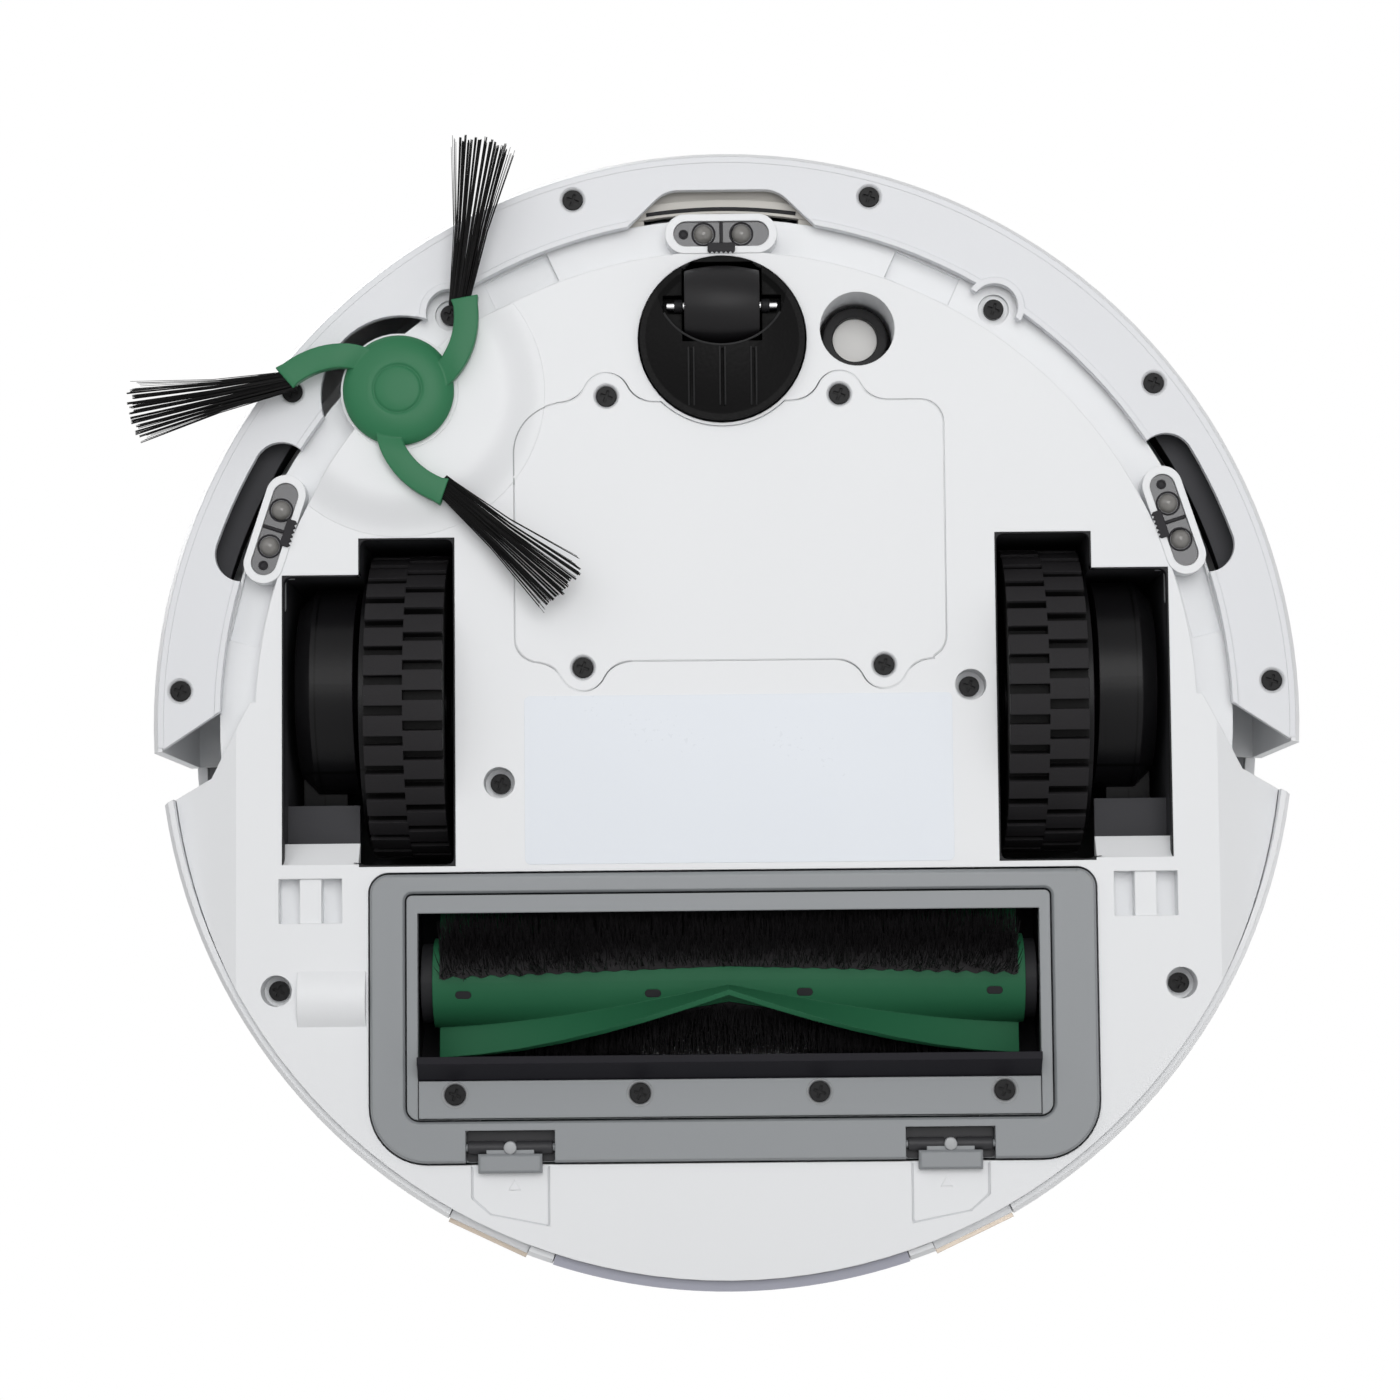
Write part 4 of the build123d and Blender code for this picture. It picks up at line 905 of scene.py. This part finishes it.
# guard latches: a dark sleeve round each rod and a pale peg
latchTrim = {"x": 46.2, "y": 90.4, "z": 9.0, "sleeve": ((1.25, 1.2), (1.4, 1.35), (1.4, 8.75), (1.25, 8.9)),
             "peg": ((1.35, 9.0), (1.35, 7.15), (1.25, 6.98), (0.9, 6.9))}
rodBlack = moulded("dark latch rod", (0.035, 0.035, 0.038), 0.4, 0.1, 0.03, more=satin)
pegGrey = moulded("pale latch peg", (0.38, 0.39, 0.4), 0.4, 0.03, 0.03)
for body, side in (("left_latch", 1), ("right_latch", -1)):
    x, y = side * latchTrim["x"], latchTrim["y"]
    sleeves = sleevePair((x, y, latchTrim["z"]), latchTrim["sleeve"], 24)
    finished(sleeves, f"{body}_sleeves", "dark_inner", body, rodBlack, 40)
    finished(turned((x, y), latchTrim["peg"], 32), f"{body}_peg", "grey_frame", body, pegGrey, 40)

# dark sheets on the floors of the latch pockets, on the guard: painted shade in the pockets
latchFloor = {"x": (36.85, 55.55), "y": (86.9, 93.4), "z": 10.56, "thick": 0.12, "corner": 0.7}


# a thin plate with rounded corners
def makeFlat(x, y, z, thick, corner):
    fresh()
    middle = Vector(((x[0] + x[1]) / 2, (y[0] + y[1]) / 2, z)) * mm
    bpy.ops.mesh.primitive_plane_add(size=mm, location=middle)
    bpy.context.object.scale = (x[1] - x[0], y[1] - y[0], 1)
    piece = placeApplied()
    pick(piece)
    bpy.ops.mesh.bevel(offset=corner * mm, segments=6, affect="VERTICES")
    return thickened(piece, thick)


finished(bothSides(makeFlat(**latchFloor)), "latch_pocket_shade", "dark_inner", "guard", rodBlack)
print("latch trim in place")

# blank film label on the base
labelFilm = {"x": (-42.8, 48.0), "y": (-4.7, 31.0), "z": 9.0, "thick": 0.12, "corner": 1.2}
filmFinish = moulded("pale label film", (0.735, 0.77, 0.82), 0.3, 0.01, 0.01, 900, 0.05)
finished(makeFlat(**labelFilm), "label_film", "white_base", "chassis", filmFinish)
print("label in place")

# sills under the charging contacts
sills = {"angles": (154.8, 205.2), "r": 120.0, "long": 18.1, "radial": (-1.72, 0.35), "z": (12.4, 17.3), "bevel": 0.3}


def makeSills():
    (low, high), (bottom, top) = sills["radial"], sills["z"]
    middle = (0, -(low + high) / 2, (bottom + top) / 2)
    model = softBox(middle, (sills["long"], high - low, top - bottom), sills["bevel"])
    return join(spread(model, [spun(angle) @ moved(0, -sills["r"]) for angle in sills["angles"]]))


finished(makeSills(), "contact_sills", "white_shell", "chassis", smooth=40)

# flat arcs round the middle: a dark line in the front notch that is painted shadow, a cover on the bumper seam, plates
# in the side notches
arcs = {"notch": {"r": (110.1, 110.9), "turn": 8.4, "z": 15.15, "columns": 24, "thick": 0.2},
        "seam": {"r": (119.7, 121.05), "turn": 92.6, "z": 10.99, "columns": 200, "thick": 0.04},
        "plate": {"r": (111.0, 116.9), "turn": 9.4, "z": 19.0, "columns": 24, "thick": 0.8, "places": (65.5, -65.5)}}


def makeArc(arc):
    def arcSpot(across, share):
        turn = math.radians(arc["turn"] * centred(across))
        r = between(arc["r"], share)
        return Vector((r * math.sin(turn), -r * math.cos(turn), arc["z"])) * mm

    return thickened(laidSheet(arc["columns"], 1, arcSpot), arc["thick"])


# painted shadow: a dark strip between the notch's strip and the sensor housing
finished(makeArc(arcs["notch"]), "notch_shadow_line", "dark_inner", "chassis", smooth=40)
finished(makeArc(arcs["seam"]), "seam_cover", "white_ring", "bumper", smooth=40)
plates = join(spread(makeArc(arcs["plate"]), [spun(turn) for turn in arcs["plate"]["places"]]))
plateGrey = moulded("notch grey", (0.055, 0.055, 0.06), 0.5, 0.1, 0.05, more=dull)
finished(plates, "notch_plates", "foam", "bumper", plateGrey, 40)
print("fillers in place")

# a soft darker line along the edges of the two latch pads: painted shade of their low step
padEdges = {"half": 0.22, "z": 9.36, "thick": 0.1}
padEdges["line"] = ((54.3, 94.5), (54.3, 100.6), (54.0, 101.2), (50.7, 104.2), (50.1, 104.5), (39.0, 106.7),
                    (38.4, 106.6), (38.2, 106.0), (38.2, 94.5))


def makePadEdge():
    line = [Vector(spot) for spot in padEdges["line"]]
    last = len(line) - 1

    def edgeSpot(across, share):
        i = round(across * last)
        along = (line[min(i + 1, last)] - line[max(i - 1, 0)]).normalized()
        spot = line[i] + Vector((-along.y, along.x)) * padEdges["half"] * centred(share)
        return Vector((*spot, padEdges["z"])) * mm

    return thickened(laidSheet(last, 1, edgeSpot), padEdges["thick"])


# painted shade: greyer than the white base round it
padShade = moulded("pad edge painted shade", (0.64, 0.65, 0.67), 0.45)
finished(bothSides(makePadEdge()), "pad_edge_shade", "white_base", "chassis", padShade, 40)
print("pad edges in place")

# two faint arrow marks moulded beside the guard's latches
arrowMarks = {"x": 45.4, "y": 98.6, "size": 1.5, "z": 9.4, "deep": 0.16}


def makeArrow():
    fresh()
    at = Vector((arrowMarks["x"], arrowMarks["y"], arrowMarks["z"])) * mm
    bpy.ops.mesh.primitive_circle_add(vertices=3, radius=arrowMarks["size"] * mm, fill_type="NGON", location=at,
                                      rotation=(0, 0, math.pi))
    return thickened(placeApplied(), arrowMarks["deep"])


finished(bothSides(makeArrow()), "arrow_marks", "white_base", "chassis", smooth=0)
print("arrow marks in place")

# a ring and a dot on the two buttons
buttonMarks = {"clean_button": (-15.0, -84.0, ((3.1, 80.5), (3.1, 80.63), (2.6, 80.63), (2.55, 80.45))),
               "dock_button": (15.0, -84.0, ((1.3, 80.5), (1.3, 80.61), (1.15, 80.64)))}
markGrey = moulded("button mark grey", (0.25, 0.26, 0.27), 0.5)
for body, (x, y, rings) in buttonMarks.items():
    finished(turned((x, y), rings, 48), f"{body}_mark", "white_shell", body, markGrey, 40)
print("button marks in place")

# floor seen only from above, so that the photograph's view from below is clear
stage = {"floorSize": 6.0, "floorTone": 0.86, "fade": (0.2, 0.75), "lightLevel": 0.3, "glossShare": 0.75,
         "lampAim": (0, 0, 0.03)}


def floorFinish():
    finish = Finish("pale floor")
    cloud = finish.noise(1.5)
    tone = stage["floorTone"]
    colour = finish.shades(cloud, (tone, tone, tone), 1, 1.02)
    far = finish.add("VectorMath", {"operation": "LENGTH"}, {0: finish.place}, "Value")
    start, stop = stage["fade"]
    fade = finish.add("MapRange", {}, {"Value": far, "From Min": start, "From Max": stop}, "Result")
    near = finish.add("BsdfDiffuse", {}, {"Color": colour})
    paint = finish.add("MixShader", {}, {0: fade, 1: near, 2: finish.add("Emission")})
    clear = finish.add("BsdfTransparent")
    behind = finish.add("NewGeometry", out="Backfacing")
    return finish.shade({0: behind, 1: paint, 2: clear}, "MixShader")


fresh()
bpy.ops.mesh.primitive_plane_add(size=stage["floorSize"])
floor = bpy.context.object
floor.name = "floor"
floor.data.materials.append(floorFinish())
for ray in ("shadow", "diffuse", "glossy"):
    setattr(floor, f"visible_{ray}", False)

# world: white to look at, softer to light with
world = bpy.data.worlds.new("studio")
bpy.context.scene.world = world
world.use_nodes = True
sky = world.node_tree
background = sky.nodes["Background"]
lookRay = sky.nodes.new("ShaderNodeLightPath")
seen = Wire(sky, lookRay.outputs["Is Camera Ray"]) + Wire(sky, lookRay.outputs["Is Transmission Ray"])
seen = seen + Wire(sky, lookRay.outputs["Is Glossy Ray"]) * stage["glossShare"]
lightLevel = stage["lightLevel"]
strength = lightLevel + (1 - lightLevel) * (seen - (seen > 1) * (seen - 1))
sky.links.new(strength.socket, background.inputs["Strength"])
background.inputs["Color"].default_value = (1, 1, 1, 1)

lamps = {
    "under front": {"at": (0.1, -0.25, -1.15), "size": 0.7, "watts": 6.3},
    "under key": {"at": (-0.55, -0.5, -0.75), "size": 0.9, "watts": 2.4},
    "under fill": {"at": (0.7, 0.35, -0.8), "size": 1.1, "watts": 1.6},
    "over key": {"at": (-0.7, -0.8, 1.1), "size": 1.0, "watts": 8.5},
    "over fill": {"at": (0.9, 0.6, 1.0), "size": 1.2, "watts": 5.0},
    "over side": {"at": (0.9, -0.75, 0.45), "size": 0.9, "watts": 2.6},
    "over back": {"at": (-0.65, 0.95, 0.5), "size": 0.9, "watts": 3.0},
}
for name, lamp in lamps.items():
    light = bpy.data.lights.new(name, "AREA")
    light.size = lamp["size"]
    light.energy = lamp["watts"]
    holder = bpy.data.objects.new(name, light)
    holder.location = lamp["at"]
    toward = Vector(stage["lampAim"]) - Vector(lamp["at"])
    holder.rotation_euler = toward.to_track_quat("-Z", "Y").to_euler()
    bpy.context.scene.collection.objects.link(holder)

# camera below the robot, looking up at its underside, with the bumper at the picture's top
camera = {"at": (-1.4, 57.0, -750.0), "aim": (-5.5, -3.7, 11.0), "focalPixels": 3588.0, "roll": 0.55}
photoSide = 1400
sensorWidth = 36.0


def addCamera():
    lens = bpy.data.cameras.new("photo view")
    lens.sensor_width = sensorWidth
    lens.lens = sensorWidth * camera["focalPixels"] / photoSide
    lens.clip_start = 0.01
    lens.clip_end = 20
    holder = bpy.data.objects.new("photo view", lens)
    ahead = (Vector(camera["aim"]) - Vector(camera["at"])).normalized()
    turn = math.radians(camera["roll"])
    up = Vector((math.sin(turn), -math.cos(turn), 0))
    right = ahead.cross(up).normalized()
    up = right.cross(ahead)
    facing = Matrix((right, up, -ahead)).transposed().to_4x4()
    facing.translation = Vector(camera["at"]) * mm
    holder.matrix_world = facing
    bpy.context.scene.collection.objects.link(holder)
    bpy.context.scene.camera = holder


addCamera()
bpy.context.scene.view_settings.view_transform = "Standard"
print("stage, lamps and camera in place")
